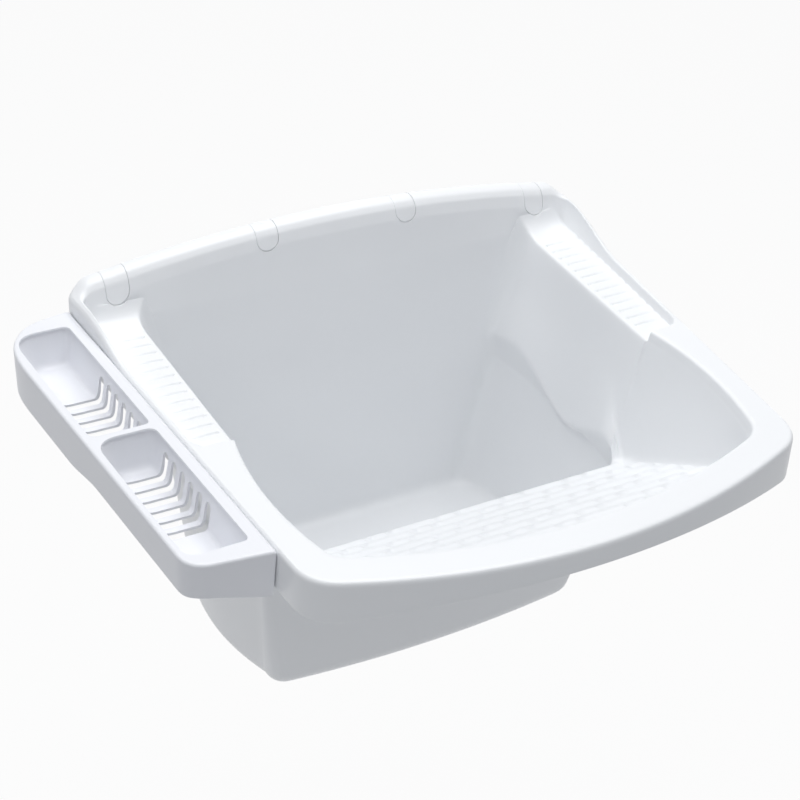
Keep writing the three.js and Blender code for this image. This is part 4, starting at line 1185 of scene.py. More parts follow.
def on_section(x, s, depth):
    """The point s along the section and a depth under it."""
    line, lengths = section_line(round(float(x), 1))

    def at(distance):
        return np.array([np.interp(distance, lengths, line[:, axis]) for axis in (0, 1)])

    y, z = at(s)
    dy, dz = at(s + LOOK_AHEAD) - at(s - LOOK_AHEAD)
    length = math.hypot(dy, dz)
    return x, y - depth * dz / length, z + depth * dy / length


def tongue_end(centre, tongue):
    line, lengths = section_line(centre)
    past_crest = line[:, 0] < RIDGE_LINES[2][0]
    return float(np.interp(tongue - float(ridge_top(centre)), -line[past_crest][:, 1], lengths[past_crest]))


STRIP_REAR_STEPS, STRIP_TIP_STEPS = 12, 26


def strip(name, centre, half, start, end, layers, steps=46):
    """A strip on the ridge through nested outlines, each at an inset from its edge and a depth."""
    rings = []
    for inset, depth in layers:
        reach = half - inset
        low, high = start + inset, end - half
        rear = [(x, low) for x in np.linspace(reach, -reach, STRIP_REAR_STEPS, endpoint=False)]
        left = [(-reach, s) for s in np.linspace(low, high, steps, endpoint=False)]
        tip = [
            (-reach * math.cos(a), high + reach * math.sin(a))
            for a in np.linspace(0, math.pi, STRIP_TIP_STEPS, endpoint=False)
        ]
        right = [(reach, s) for s in np.linspace(high, low, steps, endpoint=False)]
        rings.append([on_section(centre + x, s, depth) for x, s in rear + left + tip + right])
    count = len(rings[0])
    points = [point for ring_points in rings for point in ring_points]
    return make_piece(name, points, band_faces(len(rings), count))


def strip_layers(half, bottom, top, edge):
    """Insets and depths from the middle of the underside, round the edge, to the middle of the top."""
    inner = [half * part for part in (1, 0.85, 0.7, 0.55, 0.42, 0.3, 0.2, 0.12)]
    lower = [(inset, bottom) for inset in inner]
    upper = [(inset, top) for inset in inner[::-1]]
    if edge == 0:
        return lower + [(0, bottom), (0, top)] + upper
    rim = [(0, bottom), (0, top + edge), (edge * 0.3, top + edge * 0.3), (edge, top)]
    return lower + rim + upper


BACK_START, BACK_TOP = 5, 1.6  # along the section, and under the ridge's surface
SEAT_CLEARS = 8  # how far the seat's cutter stands over the ridge


def seat_parts(centre, tongue):
    """The plastic behind a cover, and the cutter of the seat it lies in."""
    end = tongue_end(centre, tongue)
    seat_half = COVER_WIDTH / 2 + GAP
    back_half = seat_half + WALL
    bottom = COVER_THICKNESS + GAP
    back = strip(
        "tool", centre, back_half, BACK_START, end + GAP + WALL,
        strip_layers(back_half, bottom + WALL, BACK_TOP, 0), steps=24,
    )
    seat = strip(
        "tool", centre, seat_half, -GAP, end + GAP,
        strip_layers(seat_half, bottom, -SEAT_CLEARS, 0), steps=30,
    )
    return back, seat


cover_ends = {centre: tongue_end(centre, tongue) for centre, tongue in FIXINGS}
print("covers measure along the ridge, mm:", [round(v, 1) for v in cover_ends.values()])

# %% [markdown]
# ## Seats and screw holes
#
# Behind every cover the ridge is set in, and a sleeve carries the screw to the wall. Boolean modifiers weld
# the sleeves on and cut the seats, the counterbores and the holes. Their Manifold solver is quick and keeps
# a closed mesh closed, which the Exact solver would also do, but slower.

# %% Weld and cut the basin
SCREW_BELOW_CREST = 14
SCREW_DROP_FAR = 5
SINK_FLOOR = 16
SINK_RADIUS = 7.5
SLEEVE_RADIUS, SLEEVE_FRONT = 10.5, 24
SCREW_HOLE = 3.6
CLEAR_OF_RIDGE = 90  # a cutter's start in front of the wall
TAB_PLACES = [100, 372]
TAB_WIDTH, TAB_HEIGHT, TAB_DROP = 30, 5, 17


def screw_level(centre):
    return float(ridge_top(centre)) - SCREW_BELOW_CREST - (SCREW_DROP_FAR if abs(centre) > 80 else 0)


def at_fixings(radius, start, end, steps=48):
    """A rod on the axis of each wall screw, from start to end along it, all in one tool."""
    return join([
        place(rod(radius, start, end, steps), TO_WALL, (centre, 0, screw_level(centre)))
        for centre, _ in FIXINGS
    ])


def tab_window(at):
    """The cutter of the window that a tab of the tray snaps into."""
    return block(
        (-HALF_AT_WALL - 5, -at - TAB_WIDTH / 2 - GAP, -TAB_DROP - TAB_HEIGHT - GAP),
        (-float(side_edge(-at)) + WALL + 4, -at + TAB_WIDTH / 2 + GAP, -TAB_DROP + GAP),
    )


parts = [seat_parts(centre, tongue) for centre, tongue in FIXINGS]
cut(basin, join([back for back, _ in parts]), "UNION")
cut(basin, at_fixings(SLEEVE_RADIUS, -SLEEVE_FRONT, -1), "UNION")
cut(basin, join([seat for _, seat in parts]))
cut(basin, at_fixings(SINK_RADIUS, -CLEAR_OF_RIDGE, -SINK_FLOOR))
cut(basin, at_fixings(SCREW_HOLE, -CLEAR_OF_RIDGE, 20, steps=32))
cut(basin, join([tab_window(at) for at in TAB_PLACES]))
polish(basin)
print("basin:", triangles(basin), "triangles")

# %% The covers themselves
covers = []
for number, (centre, _) in enumerate(FIXINGS, 1):
    layers = strip_layers(COVER_WIDTH / 2, COVER_THICKNESS, 0, COVER_EDGE)
    cover = strip(f"snap_cover_{number}", centre, COVER_WIDTH / 2, 0, cover_ends[centre], layers)
    give(cover, COVER_WHITE)
    polish(cover, 50)
    covers.append(cover)
print("covers:", [triangles(cover) for cover in covers], "triangles")

# %% [markdown]
# ## Accessory tray
#
# The tray is a second moulding with a rolled edge, clipped on at the left. Its two compartments hang from
# the rim, and slots let the water out through the floor and the wall beside the basin. It is drawn from
# loops with rounded corners, like the basin's rings but simpler, and the compartments are cut with tools
# whose upper edge flares, which leaves the soft roll round each compartment.

# %% Loops of the tray
SEAM = 0.4
TRAY_WIDTH = 76
TRAY_REAR, TRAY_FRONT = 17, 431
TRAY_WALL = 2.6
TRAY_DEPTH_REAR, TRAY_DEPTH_FRONT, TRAY_DEPTH_CORNER = 46, 38, 48
DEPTH_FROM, DEPTH_RUN = 190, 60  # where the tray grows shallower, from the wall
FAR_CORNER_RISE = 4
# the long curve at the rear: its two corners' distances from the far side and from the rear, and their rounds
REAR_CURVE = [(26, 8, 36), (0.3, 46, 40)]
FRONT_SET_BACK, FRONT_ROUND, SEAM_ROUND = 9, 22, 3
TUB_FLOOR = 38
TRAY_LIP = 16
OUTER_BAND, INNER_BAND, DIVIDER = 7.5, 13, 8
TUB_REAR, TUB_MIDDLE, TUB_FRONT = 44, 227, 407
TUB_DRAFT = 8
NEAR_DRAFT, REAR_DRAFT, FAR_DRAFT = 0.5, 1.2, 1.8  # shares of the draft, beside the basin, at the rear, far


def tray_near(y):
    return -side_edge(y) - SEAM


def tray_far(y):
    return -side_edge(y) - TRAY_WIDTH


def tray_depth(x, y):
    along = mix(TRAY_DEPTH_REAR, TRAY_DEPTH_FRONT, smooth((-y - DEPTH_FROM) / DEPTH_RUN))
    near_front = smooth((-y - TUB_FRONT) / (TRAY_FRONT - TUB_FRONT))
    near_seam = smooth((x - tray_far(y)) / (TRAY_WIDTH - SEAM))
    front_depth = mix(TRAY_DEPTH_FRONT - FAR_CORNER_RISE, TRAY_DEPTH_CORNER, near_seam)
    return mix(along, front_depth, near_front)


def loop_through(corners, edge_steps, bend_steps=12):
    """A level loop through corners (x, y, round), split along its edges."""
    line = soften([corner[:2] for corner in corners], [corner[2] for corner in corners], bend_steps)
    count = len(corners)
    made = []
    for i in range(count):
        bend_points = line[i * (bend_steps + 1):(i + 1) * (bend_steps + 1)]
        following = line[((i + 1) % count) * (bend_steps + 1)]
        made += list(bend_points)
        made += [mix(bend_points[-1], following, k / edge_steps[i]) for k in range(1, edge_steps[i])]
    return np.array(made)


def tray_loop(inset):
    (first_in, first_back, first_round), (then_in, then_back, then_round) = REAR_CURVE
    far_rear, far_front = tray_far(-TRAY_REAR), tray_far(-TRAY_FRONT)
    return loop_through([
        (tray_near(-TRAY_REAR) - inset, -TRAY_REAR - inset, SEAM_ROUND),
        (far_rear + inset * 0.7 + first_in, -TRAY_REAR - first_back - inset, first_round - inset),
        (far_rear + inset + then_in, -TRAY_REAR - then_back - inset * 0.5, then_round - inset),
        (far_front + inset, -TRAY_FRONT + FRONT_SET_BACK + inset, FRONT_ROUND - inset),
        (tray_near(-TRAY_FRONT) - inset, -TRAY_FRONT + inset, SEAM_ROUND),
    ], [6, 4, 56, 8, 60])


def tub_loop(tub, draft, grow):
    start, end, rounds = tub

    def near(y):
        return tray_near(y) - INNER_BAND - draft * NEAR_DRAFT + grow

    def far(y):
        return tray_far(y) + OUTER_BAND + draft * FAR_DRAFT - grow

    return loop_through([
        (near(-start), -start - draft + grow, rounds[0] + grow),
        (far(-start), -start - draft * REAR_DRAFT + grow, rounds[1] + grow),
        (far(-end), -end + draft - grow, rounds[2] + grow),
        (near(-end), -end + draft - grow, rounds[3] + grow),
    ], [3, 8, 3, 8])


def loft(name, loops):
    """A closed piece through loops of (points, height), with a lid at each end fanned from the middle of its
    loop.
    """
    rings = []
    for points, height_of in loops:
        z = height_of(points[:, 0], points[:, 1]) if callable(height_of) else np.full(len(points), height_of)
        rings.append(np.column_stack([points, z]))
    count = len(rings[0])
    middle_first, middle_last = rings[0].mean(axis=0), rings[-1].mean(axis=0)
    points = np.concatenate(rings + [[middle_first, middle_last]])
    faces = band_faces(len(rings), count)
    last = (len(rings) - 1) * count
    faces += [[(i + 1) % count, i, len(points) - 2] for i in range(count)]
    faces += [[last + i, last + (i + 1) % count, len(points) - 1] for i in range(count)]
    return make_piece(name, points, faces)


def roll(radius, steps=5):
    """Insets and drops of a quarter-round edge, from the side to the top."""
    angles = np.linspace(0, math.pi / 2, steps + 1)
    return [(radius * (1 - math.cos(a)), radius * (1 - math.sin(a))) for a in angles]


def prism(outline, start, end):
    """A bar along X with an outline of (y, z)."""
    points = [(x, y, z) for x in (start, end) for y, z in outline]
    count = len(outline)
    faces = [[i, (i + 1) % count, count + (i + 1) % count, count + i] for i in range(count)]
    faces += [list(range(count))[::-1], list(range(count, 2 * count))]
    return make_piece("tool", points, faces)


# %% The tray's body, hollow below
TRAY_EDGE = 3
TUB_EDGE = 1.8
BELOW_TRAY = -120.0
TUBS = [
    (TUB_REAR, TUB_MIDDLE - DIVIDER / 2, (7, 30, 9, 6)),
    (TUB_MIDDLE + DIVIDER / 2, TUB_FRONT, (9, 22, 14, 6)),
]

edge = [(tray_loop(inset), -drop) for inset, drop in roll(TRAY_EDGE)]
tray = loft("clip_on_tray", [(tray_loop(1), lambda x, y: -tray_depth(x, y))] + edge + [(tray_loop(6), 0.0)])
hollow = loft("tool", [
    (tray_loop(TRAY_WALL + 1), BELOW_TRAY), (tray_loop(TRAY_WALL + 0.2), -TRAY_WALL - 2.2),
    (tray_loop(TRAY_WALL + 2), -TRAY_WALL),
])
cut(tray, hollow)
cut(tray, block(
    (float(tray_near(-TRAY_REAR)) - INNER_BAND / 2, -TUB_FRONT, BELOW_TRAY), (0, -TUB_REAR, -TRAY_LIP),
))


# %% Compartments, cut with tools that flare at the rim
TUB_START = -0.3  # draft at the rim
TUB_LINE = [(TUB_START, 0), (6.6, -TUB_FLOOR), (30, -TUB_FLOOR)]  # draft and height, over the floor's bend
TUB_BEND_OUTSIDE, TUB_BEND_INSIDE = 10, 8


def tub_shape(tub, grow, sink, rounding):
    line = [(draft, z - sink) for draft, z in TUB_LINE]
    bend_points = soften(line, [0, rounding, 0], steps=6, closed=False)[1:-1]
    return [(tub_loop(tub, draft, grow), float(z)) for draft, z in bend_points]


for tub in TUBS:
    shell = [(tub_loop(tub, 0, TRAY_WALL), -TRAY_WALL / 2)]
    shell += tub_shape(tub, TRAY_WALL, TRAY_WALL, TUB_BEND_OUTSIDE)
    cut(tray, loft("tool", shell), "UNION")
for tub in TUBS:
    mouth = [(tub_loop(tub, TUB_START, TUB_EDGE), 4.0)]
    flare = [(tub_loop(tub, TUB_START, drop), -inset) for inset, drop in roll(TUB_EDGE)[::-1]]
    cut(tray, loft("tool", mouth + flare + tub_shape(tub, 0, 0, TUB_BEND_INSIDE)))
print("tray with compartments:", triangles(tray), "triangles")

# %% [markdown]
# ## Slots in a row
#
# Each compartment drains through six slots. One cutter is made, and a tree sets it on points in a row, with
# a drift sideways because the tray tapers. An Array modifier would also do, but the tree keeps its count
# and pitch as named inputs, and the same idea then serves for the nut's wings and the strainer's holes.

# %% Trees that repeat a piece in a row or round an axis


def copy_to_points(tree, inward, points):
    """Set what goes into a tree on every point."""
    copies = tree.nodes.new("GeometryNodeInstanceOnPoints")
    tree.links.new(points.outputs[0], copies.inputs["Points"])
    tree.links.new(inward.outputs["Geometry"], copies.inputs["Instance"])
    return copies


row_tree, inward, size = start_tree("in_a_row", Count=1, Pitch=0, Drift=0)
points = row_tree.nodes.new("GeometryNodeMeshLine")
step = row_tree.nodes.new("ShaderNodeCombineXYZ")
row_tree.links.new(size["Drift"].socket, step.inputs["X"])
row_tree.links.new(size["Pitch"].socket, step.inputs["Y"])
row_tree.links.new(size["Count"].socket, points.inputs["Count"])
row_tree.links.new(step.outputs[0], points.inputs["Offset"])
end_tree(row_tree, inward, copy_to_points(row_tree, inward, points).outputs[0])

circle_tree, inward, size = start_tree("round_an_axis", Count=1)
points = circle_tree.nodes.new("GeometryNodeMeshLine")
circle_tree.links.new(size["Count"].socket, points.inputs["Count"])
points.inputs["Offset"].default_value = (0, 0, 0)
number = Number(circle_tree, circle_tree.nodes.new("GeometryNodeInputIndex").outputs[0])
turn = circle_tree.nodes.new("ShaderNodeCombineXYZ")
circle_tree.links.new((number / size["Count"] * (2 * math.pi)).socket, turn.inputs["Z"])
copies = copy_to_points(circle_tree, inward, points)
circle_tree.links.new(turn.outputs[0], copies.inputs["Rotation"])
end_tree(circle_tree, inward, copies.outputs[0])
print("trees:", [tree.name for tree in bpy.data.node_groups])

# %% Slots and clips of the tray
SLOTS = 6
SLOT_PITCH = 16
SLOT_WIDTH = 9.5
SLOT_TOP = 12
SLOT_STARTS = [122, 256]
SLOT_CUT_TO = -80
TAB_REACH = 9

for start in SLOT_STARTS:
    half = SLOT_WIDTH / 2
    arch = [
        (-start - half * math.cos(a), -SLOT_TOP - half + half * math.sin(a))
        for a in np.linspace(0, math.pi, 9)
    ]
    outer = float(tray_far(-start)) + OUTER_BAND + TUB_DRAFT * FAR_DRAFT + 2
    inner = float(tray_near(-start)) - INNER_BAND / 2
    slot = prism([(-start - half, SLOT_CUT_TO)] + arch + [(-start + half, SLOT_CUT_TO)], outer, inner)
    apply_tree(
        slot, row_tree, TRAY_WHITE, Count=SLOTS, Pitch=-SLOT_PITCH * MM, Drift=SIDE_TAPER * SLOT_PITCH * MM,
    )
    cut(tray, slot)
for at in TAB_PLACES:
    near = float(tray_near(-at + TAB_WIDTH / 2))
    low = (near - TRAY_WALL, -at - TAB_WIDTH / 2, -TAB_DROP - TAB_HEIGHT)
    tip = (-float(side_edge(-at)) + WALL + TAB_REACH, -at + TAB_WIDTH / 2, -TAB_DROP)
    cut(tray, block(low, tip), "UNION")
    cut(tray, block(low, (near, -at + TAB_WIDTH / 2, -TRAY_WALL / 2)), "UNION")
give(tray, TRAY_WHITE)
polish(tray, 40, weighted=True)
print("tray:", triangles(tray), "triangles")

# %% [markdown]
# ## Threads
#
# The wall screws, the waste and its nut are threaded. A thread is a wave that climbs as it goes round, so a
# tree moves each marked point in or out by the cosine of its height over the pitch less its turn. The marks
# keep the thread off the head and the bore.

# %% A tree that cuts a thread
thread_tree, inward, size = start_tree("thread", Pitch=1, Depth=0)
x, y, z = place_of(thread_tree)
reach = (x * x + y * y).then("SQRT").most(1e-6)
phase = z / size["Pitch"] - y.then("ARCTAN2", x) / (2 * math.pi)
crest = (phase * (2 * math.pi)).then("COSINE") * 0.5 + 0.5
sunk = (crest.eased() * -1 + 1) * size["Depth"] * mark_of(thread_tree, "thread")
moved = shift(thread_tree, inward.outputs["Geometry"], [x / reach * sunk * -1, y / reach * sunk * -1, 0])
end_tree(thread_tree, inward, moved)


THREAD_ENDS = 3  # points at each end of a threaded part that stay plain


def spin_with_thread(name, parts, steps, finish, pitch, depth):
    """Turn an outline made of parts (points, whether threaded) and cut the thread into the marked ones."""
    outline, marks = [], []
    for points, threaded in parts:
        for number, point in enumerate(points):
            outline.append(point)
            inside = THREAD_ENDS <= number < len(points) - THREAD_ENDS
            marks.append(1.0 if threaded and inside else 0.0)
    piece = spin(name, outline, steps, {"thread": marks})
    apply_tree(piece, thread_tree, finish, Pitch=pitch * MM, Depth=depth * MM)
    return piece


# %% Wall screws and washers
SCREW_LENGTH = 22
SCREW_HEAD, SCREW_HEAD_HEIGHT, SCREW_SHANK = 6, 3.6, 3
SCREW_PITCH, SCREW_THREAD_DEPTH, SCREW_POINT = 2.4, 0.7, 3
WASHER_THICKNESS, WASHER_HOLE, WASHER_RADIUS = 1.6, 3.3, 7
WASHER_SEAT = -SINK_FLOOR - GAP
HEAD_SEAT = WASHER_SEAT - WASHER_THICKNESS - GAP

screws, washers = [], []
for number, (centre, _) in enumerate(FIXINGS, 1):
    top, tip = HEAD_SEAT - SCREW_HEAD_HEIGHT, HEAD_SEAT + SCREW_LENGTH
    head = soften([
        (SCREW_HEAD * 0.6, top), (SCREW_HEAD, top + SCREW_HEAD_HEIGHT * 0.5), (SCREW_HEAD, HEAD_SEAT),
        (SCREW_SHANK, HEAD_SEAT),
    ], [1.6, 1.2, 0.3, 0.2], 4, closed=False)
    shank = [(SCREW_SHANK, h) for h in np.arange(HEAD_SEAT + 3, tip - SCREW_POINT - 0.4, 0.3)]
    screw = spin_with_thread(f"screw_{number}", [
        ([(0, top)], False), (head, False), (shank, True), ([(1.6, tip - SCREW_POINT), (0, tip)], False),
    ], 24, STEEL, SCREW_PITCH, SCREW_THREAD_DEPTH)
    for turn in (0, 90):
        bar = block((-SCREW_HEAD * 0.62, -0.65, top - 1), (SCREW_HEAD * 0.62, 0.65, top + 1.8))
        cut(screw, place(bar, Matrix.Rotation(math.radians(turn), 3, "Z")))
    place(screw, TO_WALL, (centre, 0, screw_level(centre)))
    washer_front = WASHER_SEAT - WASHER_THICKNESS
    washer = spin(f"washer_{number}", soften([
        (WASHER_HOLE, washer_front), (WASHER_RADIUS, washer_front), (WASHER_RADIUS, WASHER_SEAT),
        (WASHER_HOLE, WASHER_SEAT),
    ], [0.2, 0.5, 0.2, 0.2]), 48)
    place(washer, TO_WALL, (centre, 0, screw_level(centre)))
    for piece in (screw, washer):
        give(piece, STEEL)
        polish(piece, 30)
    screws.append(screw)
    washers.append(washer)
for name, pieces in (("screws:", screws), ("washers:", washers)):
    print(name, [triangles(piece) for piece in pieces], "triangles")

# %% [markdown]
# ## Waste, strainer and plug
#
# Under the drain hole sit a flanged waste with a threaded tube and a hose spigot, a rubber ring above and
# below the floor, and a nut with six wings that is turned by hand. A strainer closes the mouth, held by one
# screw, and a rubber plug with a pull ring keeps the water in. The spigot gets three barbs, so that a hose
# holds on it.

# %% Heights of the waste
RECESS_FLOOR = -FLOOR_DEPTH - DRAIN_RECESS_DEPTH
GASKET = 2
UPPER_GASKET = RECESS_FLOOR + GAP
FLANGE_BOTTOM = UPPER_GASKET + GASKET + GAP
FLANGE_TOP = FLANGE_BOTTOM + 2.4
LOWER_GASKET = RECESS_FLOOR - WALL - GAP - GASKET
NUT_TOP = LOWER_GASKET - GAP
TUBE_LENGTH, SPIGOT_LENGTH = 62, 34
WASTE_END = FLANGE_BOTTOM - TUBE_LENGTH
SPIGOT_END = WASTE_END - SPIGOT_LENGTH
GRID_SEAT = FLANGE_TOP - 20
PLUG_LEVEL = FLANGE_TOP + GAP
TUBE, BORE, MOUTH, FLANGE, SPIGOT = 20, 16.5, 18.4, 32, 17
GRID_SCREW_HOLE = 2.7
THREAD_PITCH, THREAD_DEPTH = 3, 0.9
BARBS, BARB_PITCH, BARB_HEIGHT = 3, 9, 1.1
WEB_HEIGHT, WEB_HALF = 8, 1.3  # of the cross that carries the strainer's screw
DRAIN = (0, -DRAIN_FROM_WALL, 0)


def finish_round(piece, finish):
    place(piece, None, DRAIN)
    give(piece, finish)
    polish(piece, 30)
    return piece


# %% Waste body
tube = [(TUBE, h) for h in np.arange(FLANGE_BOTTOM - 1, WASTE_END + 3.5, -0.5)]
barbs = []
neck = SPIGOT - BARB_HEIGHT
for number in range(BARBS):
    top = WASTE_END - 3 - number * BARB_PITCH
    barbs += [(neck, top), (SPIGOT, top - 1.2), (SPIGOT, top - 2.4), (neck, top - 7.5)]
rim = soften([
    (MOUTH, FLANGE_TOP), (FLANGE, FLANGE_TOP), (FLANGE, FLANGE_BOTTOM), (TUBE, FLANGE_BOTTOM),
], [0.8, 1.6, 0.5, 0.3], 4, closed=False)
inside = [
    (neck, SPIGOT_END + 1), (SPIGOT - 1.6, SPIGOT_END), (SPIGOT - 2, SPIGOT_END), (SPIGOT - 2, WASTE_END),
    (BORE - 1, WASTE_END + 3), (BORE - 1, GRID_SEAT), (BORE, GRID_SEAT), (BORE, FLANGE_TOP - 9),
]
waste = spin_with_thread("waste_tube", [
    (rim, False), (tube, True), ([(SPIGOT, WASTE_END), (neck, WASTE_END - 1)], False), (barbs, False),
    (inside, False),
], 72, WASTE_WHITE, THREAD_PITCH, THREAD_DEPTH)
web_top = GRID_SEAT - GAP
for turn in (0, 90):
    web = block((-BORE, -WEB_HALF, web_top - WEB_HEIGHT), (BORE, WEB_HALF, web_top))
    cut(waste, place(web, Matrix.Rotation(math.radians(turn), 3, "Z")), "UNION")
cut(waste, rod(5, web_top - WEB_HEIGHT, web_top), "UNION")
cut(waste, rod(GRID_SCREW_HOLE, web_top - 2 * WEB_HEIGHT, web_top + 2, 32))
finish_round(waste, WASTE_WHITE)

# %% Rubber rings
gaskets = []
for name, bottom in (("upper_ring", UPPER_GASKET), ("lower_ring", LOWER_GASKET)):
    top = bottom + GASKET
    outline = soften([
        (TUBE + GAP, bottom), (FLANGE - 1, bottom), (FLANGE - 1, top), (TUBE + GAP, top),
    ], [0.3, 0.7, 0.7, 0.3], 4)
    gaskets.append(finish_round(spin(name, outline, 72), RUBBER))

# %% Winged nut
NUT_RADIUS, NUT_HEIGHT, NUT_COLLAR, WINGS = 31, 14, 4, 6
nut_bottom = NUT_TOP - NUT_HEIGHT
hub = NUT_RADIUS - 6
collar_bottom = NUT_TOP - NUT_COLLAR
nut_outside = soften([
    (TUBE + GAP, nut_bottom), (hub, nut_bottom), (hub, collar_bottom), (NUT_RADIUS, collar_bottom),
    (NUT_RADIUS, NUT_TOP), (TUBE + GAP, NUT_TOP),
], [0.5, 1, 1.5, 1, 1, 0.5], 3)
nut = spin("winged_nut", nut_outside, 72)
wing_outline = soften([
    (-4, nut_bottom + 1.3), (4, nut_bottom + 1.3), (3.5, NUT_TOP - 3), (-3.5, NUT_TOP - 3),
], [1.4, 1.4, 0, 0], 4)
wing = prism(wing_outline, hub - 1, NUT_RADIUS - 0.4)
apply_tree(wing, circle_tree, WASTE_WHITE, Count=WINGS)
cut(nut, wing, "UNION")
finish_round(nut, WASTE_WHITE)
print("waste:", triangles(waste), "nut:", triangles(nut), "triangles")

# %% Strainer and its screw
GRID_HOLES, GRID_HOLE, GRID_HOLE_RING, GRID_THICKNESS = 8, 2.4, 10.2, 1.2
grid_bottom = GRID_SEAT + GAP
grid_top = grid_bottom + GRID_THICKNESS
grid = spin("strainer", soften([
    (GRID_SCREW_HOLE, grid_bottom), (BORE - GAP, grid_bottom), (BORE - GAP, grid_top),
    (GRID_SCREW_HOLE, grid_top),
], [0.2, 0.2, 0.5, 0.2]), 72)
hole = place(rod(GRID_HOLE, grid_bottom - 3, grid_bottom + 4, 32), None, (GRID_HOLE_RING, 0, 0))
apply_tree(hole, circle_tree, STEEL, Count=GRID_HOLES)
cut(grid, hole)
finish_round(grid, STEEL)

screw_seat = GRID_SEAT + GRID_THICKNESS + 2 * GAP
screw_tip = GRID_SEAT - 12
screw_shank = [(0, screw_tip), (2.4, screw_tip + 2.4), (2.4, screw_seat)]
screw_head = soften([
    (2.4, screw_seat), (5, screw_seat), (4.6, screw_seat + 1.6), (0, screw_seat + 2.6),
], [0, 0.3, 1.2, 0], 4, closed=False)
grid_screw = spin("strainer_screw", screw_shank + list(screw_head)[1:], 48)
cut(grid_screw, block((-6, -0.6, screw_seat + 1.2), (6, 0.6, screw_seat + 4)))
finish_round(grid_screw, STEEL)

# %% Plug and pull ring
PLUG_RIM, PLUG_RIM_HEIGHT, PLUG_LUG, WIRE, PULL_RING = 21, 3, 8, 1.1, 9
plug_bottom, plug_top = PLUG_LEVEL - 13, PLUG_LEVEL + PLUG_RIM_HEIGHT
plug_side = soften([
    (BORE - 1.3, plug_bottom), (BORE - GAP, PLUG_LEVEL - 9), (MOUTH - GAP, PLUG_LEVEL),
    (PLUG_RIM, PLUG_LEVEL), (PLUG_RIM, plug_top), (8, plug_top),
], [1.5, 1, 0.4, 0.8, 1.4, 0], 4, closed=False)
plug = spin("rubber_plug", [(0, plug_bottom), *plug_side, (0, plug_top)], 72)
lug_top = plug_top + PLUG_LUG
lug_outline = soften(
    [(-2, PLUG_LEVEL + 1), (2, PLUG_LEVEL + 1), (2, lug_top), (-2, lug_top)], [0, 0, 1.4, 1.4], 4,
)
cut(plug, prism(lug_outline, -PLUG_LUG / 2, PLUG_LUG / 2), "UNION")
eye_level = plug_top + PLUG_LUG * 0.55
cut(plug, place(rod(WIRE + 2 * GAP, -12, 12, 32), TO_WALL, (0, 0, eye_level)))
finish_round(plug, RUBBER)

drop = eye_level - PLUG_LEVEL - PLUG_RIM_HEIGHT - WIRE - GAP
wire = [
    (PULL_RING + WIRE * math.cos(a), WIRE * math.sin(a))
    for a in np.linspace(0, 2 * math.pi, 16, endpoint=False)
]
pull_ring = spin("pull_ring", wire, 64)
place(pull_ring, None, (PULL_RING, 0, 0))
place(pull_ring, Matrix.Rotation(math.asin(drop / (2 * PULL_RING)), 3, "Y"), (0, 0, eye_level))
finish_round(pull_ring, STEEL)
print("plug:", triangles(plug), "ring:", triangles(pull_ring), "triangles")

# %% [markdown]
# ## Floor, light and background
#
# The tank hangs on a wall, so nothing stands under it. A pale floor lies well below and keeps its soft
# shadow. Two soft boxes light it from above and from the front left, and a dim sky fills the rest. White
# comes from the Light Path node: rays from the camera, in gloss and through glass see a plain white,
# whatever the light is.

# %% Floor and sky


def white_to_the_eye(tree, shaded, output, share=1.0):
    """Show white to camera, glossy and transmission rays, and the shaded surface to all others."""
    path = tree.nodes.new("ShaderNodeLightPath")
    seen = Number(tree, path.outputs["Is Camera Ray"]).most(
        Number(tree, path.outputs["Is Glossy Ray"])).most(Number(tree, path.outputs["Is Transmission Ray"]))
    on_material = output.type == "OUTPUT_MATERIAL"
    white = tree.nodes.new("ShaderNodeEmission" if on_material else "ShaderNodeBackground")
    white.inputs["Color"].default_value = (1, 1, 1, 1)
    white.inputs["Strength"].default_value = 1
    blend = tree.nodes.new("ShaderNodeMixShader")
    tree.links.new((seen * share).socket, blend.inputs[0])
    tree.links.new(shaded, blend.inputs[1])
    tree.links.new(white.outputs[0], blend.inputs[2])
    tree.links.new(blend.outputs[0], output.inputs["Surface"])


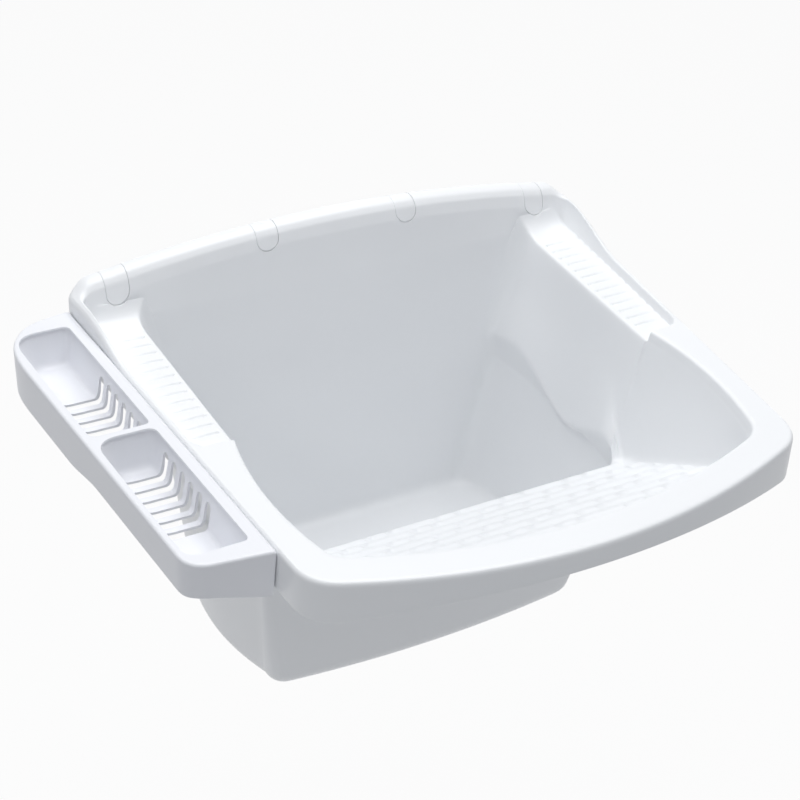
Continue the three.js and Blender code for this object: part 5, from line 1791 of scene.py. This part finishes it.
FLOOR_LEVEL, FLOOR_REACH = -850, 9000
FLOOR_WHITE = 0.93  # the rest of what the eye sees is the shaded floor, with the shadow
floor = make_piece("floor", [
    (x * FLOOR_REACH, y * FLOOR_REACH, FLOOR_LEVEL) for x, y in ((-1, -1), (1, -1), (1, 1), (-1, 1))
], [[0, 1, 2, 3]])
pale = bpy.data.materials.new("pale_floor")
pale.use_nodes = True
pale_shader = pale.node_tree.nodes["Principled BSDF"]
pale_shader.inputs["Base Color"].default_value = (0.8, 0.8, 0.8, 1)
pale_shader.inputs["Roughness"].default_value = 0.9
pale_end = pale.node_tree.nodes["Material Output"]
white_to_the_eye(pale.node_tree, pale_shader.outputs[0], pale_end, FLOOR_WHITE)
floor.data.materials.append(pale)

sky = bpy.data.worlds.new("sky")
sky.use_nodes = True
bpy.context.scene.world = sky
dim = sky.node_tree.nodes["Background"]
dim.inputs["Color"].default_value = (0.92, 0.95, 1, 1)
dim.inputs["Strength"].default_value = 0.37
white_to_the_eye(sky.node_tree, dim.outputs[0], sky.node_tree.nodes["World Output"])


def soft_box(name, at, aim, width, power):
    data = bpy.data.lights.new(name, "AREA")
    data.shape = "SQUARE"
    data.size = width
    data.energy = power
    lamp = bpy.data.objects.new(name, data)
    bpy.context.scene.collection.objects.link(lamp)
    lamp.location = at
    lamp.rotation_euler = (Vector(aim) - Vector(at)).to_track_quat("-Z", "Y").to_euler()
    return lamp


soft_box("overhead", at=(0.05, 0.2, 2.2), aim=(0, -0.27, 0), width=2.2, power=46)
soft_box("front_left", at=(-1.9, -2.2, 1.6), aim=(0, -0.27, -0.1), width=1.8, power=4)
bpy.context.scene.view_settings.view_transform = "Standard"

# %% [markdown]
# ## Riding and handing over
#
# Every dressed piece rides on the body it moves with and takes the place of its plain solid.

# %% Each piece to its body


def dress(piece, body, node):
    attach(piece, body)
    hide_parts(node)


give(basin, TANK_WHITE)
for mark in ("board", "ledge", "from_edge", "from_dot"):
    if mark in basin.data.attributes:
        basin.data.attributes.remove(basin.data.attributes[mark])
dress(basin, "tank", "basin")
dress(tray, "tray", "accessory_tray")
for number in range(4):
    dress(covers[number], f"cover_{number + 1}", f"fixing_cover_{number + 1}")
    dress(screws[number], "tank", f"wall_screw_{number + 1}")
    dress(washers[number], "tank", f"wall_washer_{number + 1}")
dress(waste, "tank", "waste_body")
dress(gaskets[0], "tank", "waste_gasket_upper")
dress(gaskets[1], "tank", "waste_gasket_lower")
dress(nut, "tank", "waste_backnut")
dress(grid, "tank", "waste_grid")
dress(grid_screw, "tank", "waste_grid_screw")
dress(plug, "plug", "drain_plug")
dress(pull_ring, "plug", "plug_ring")
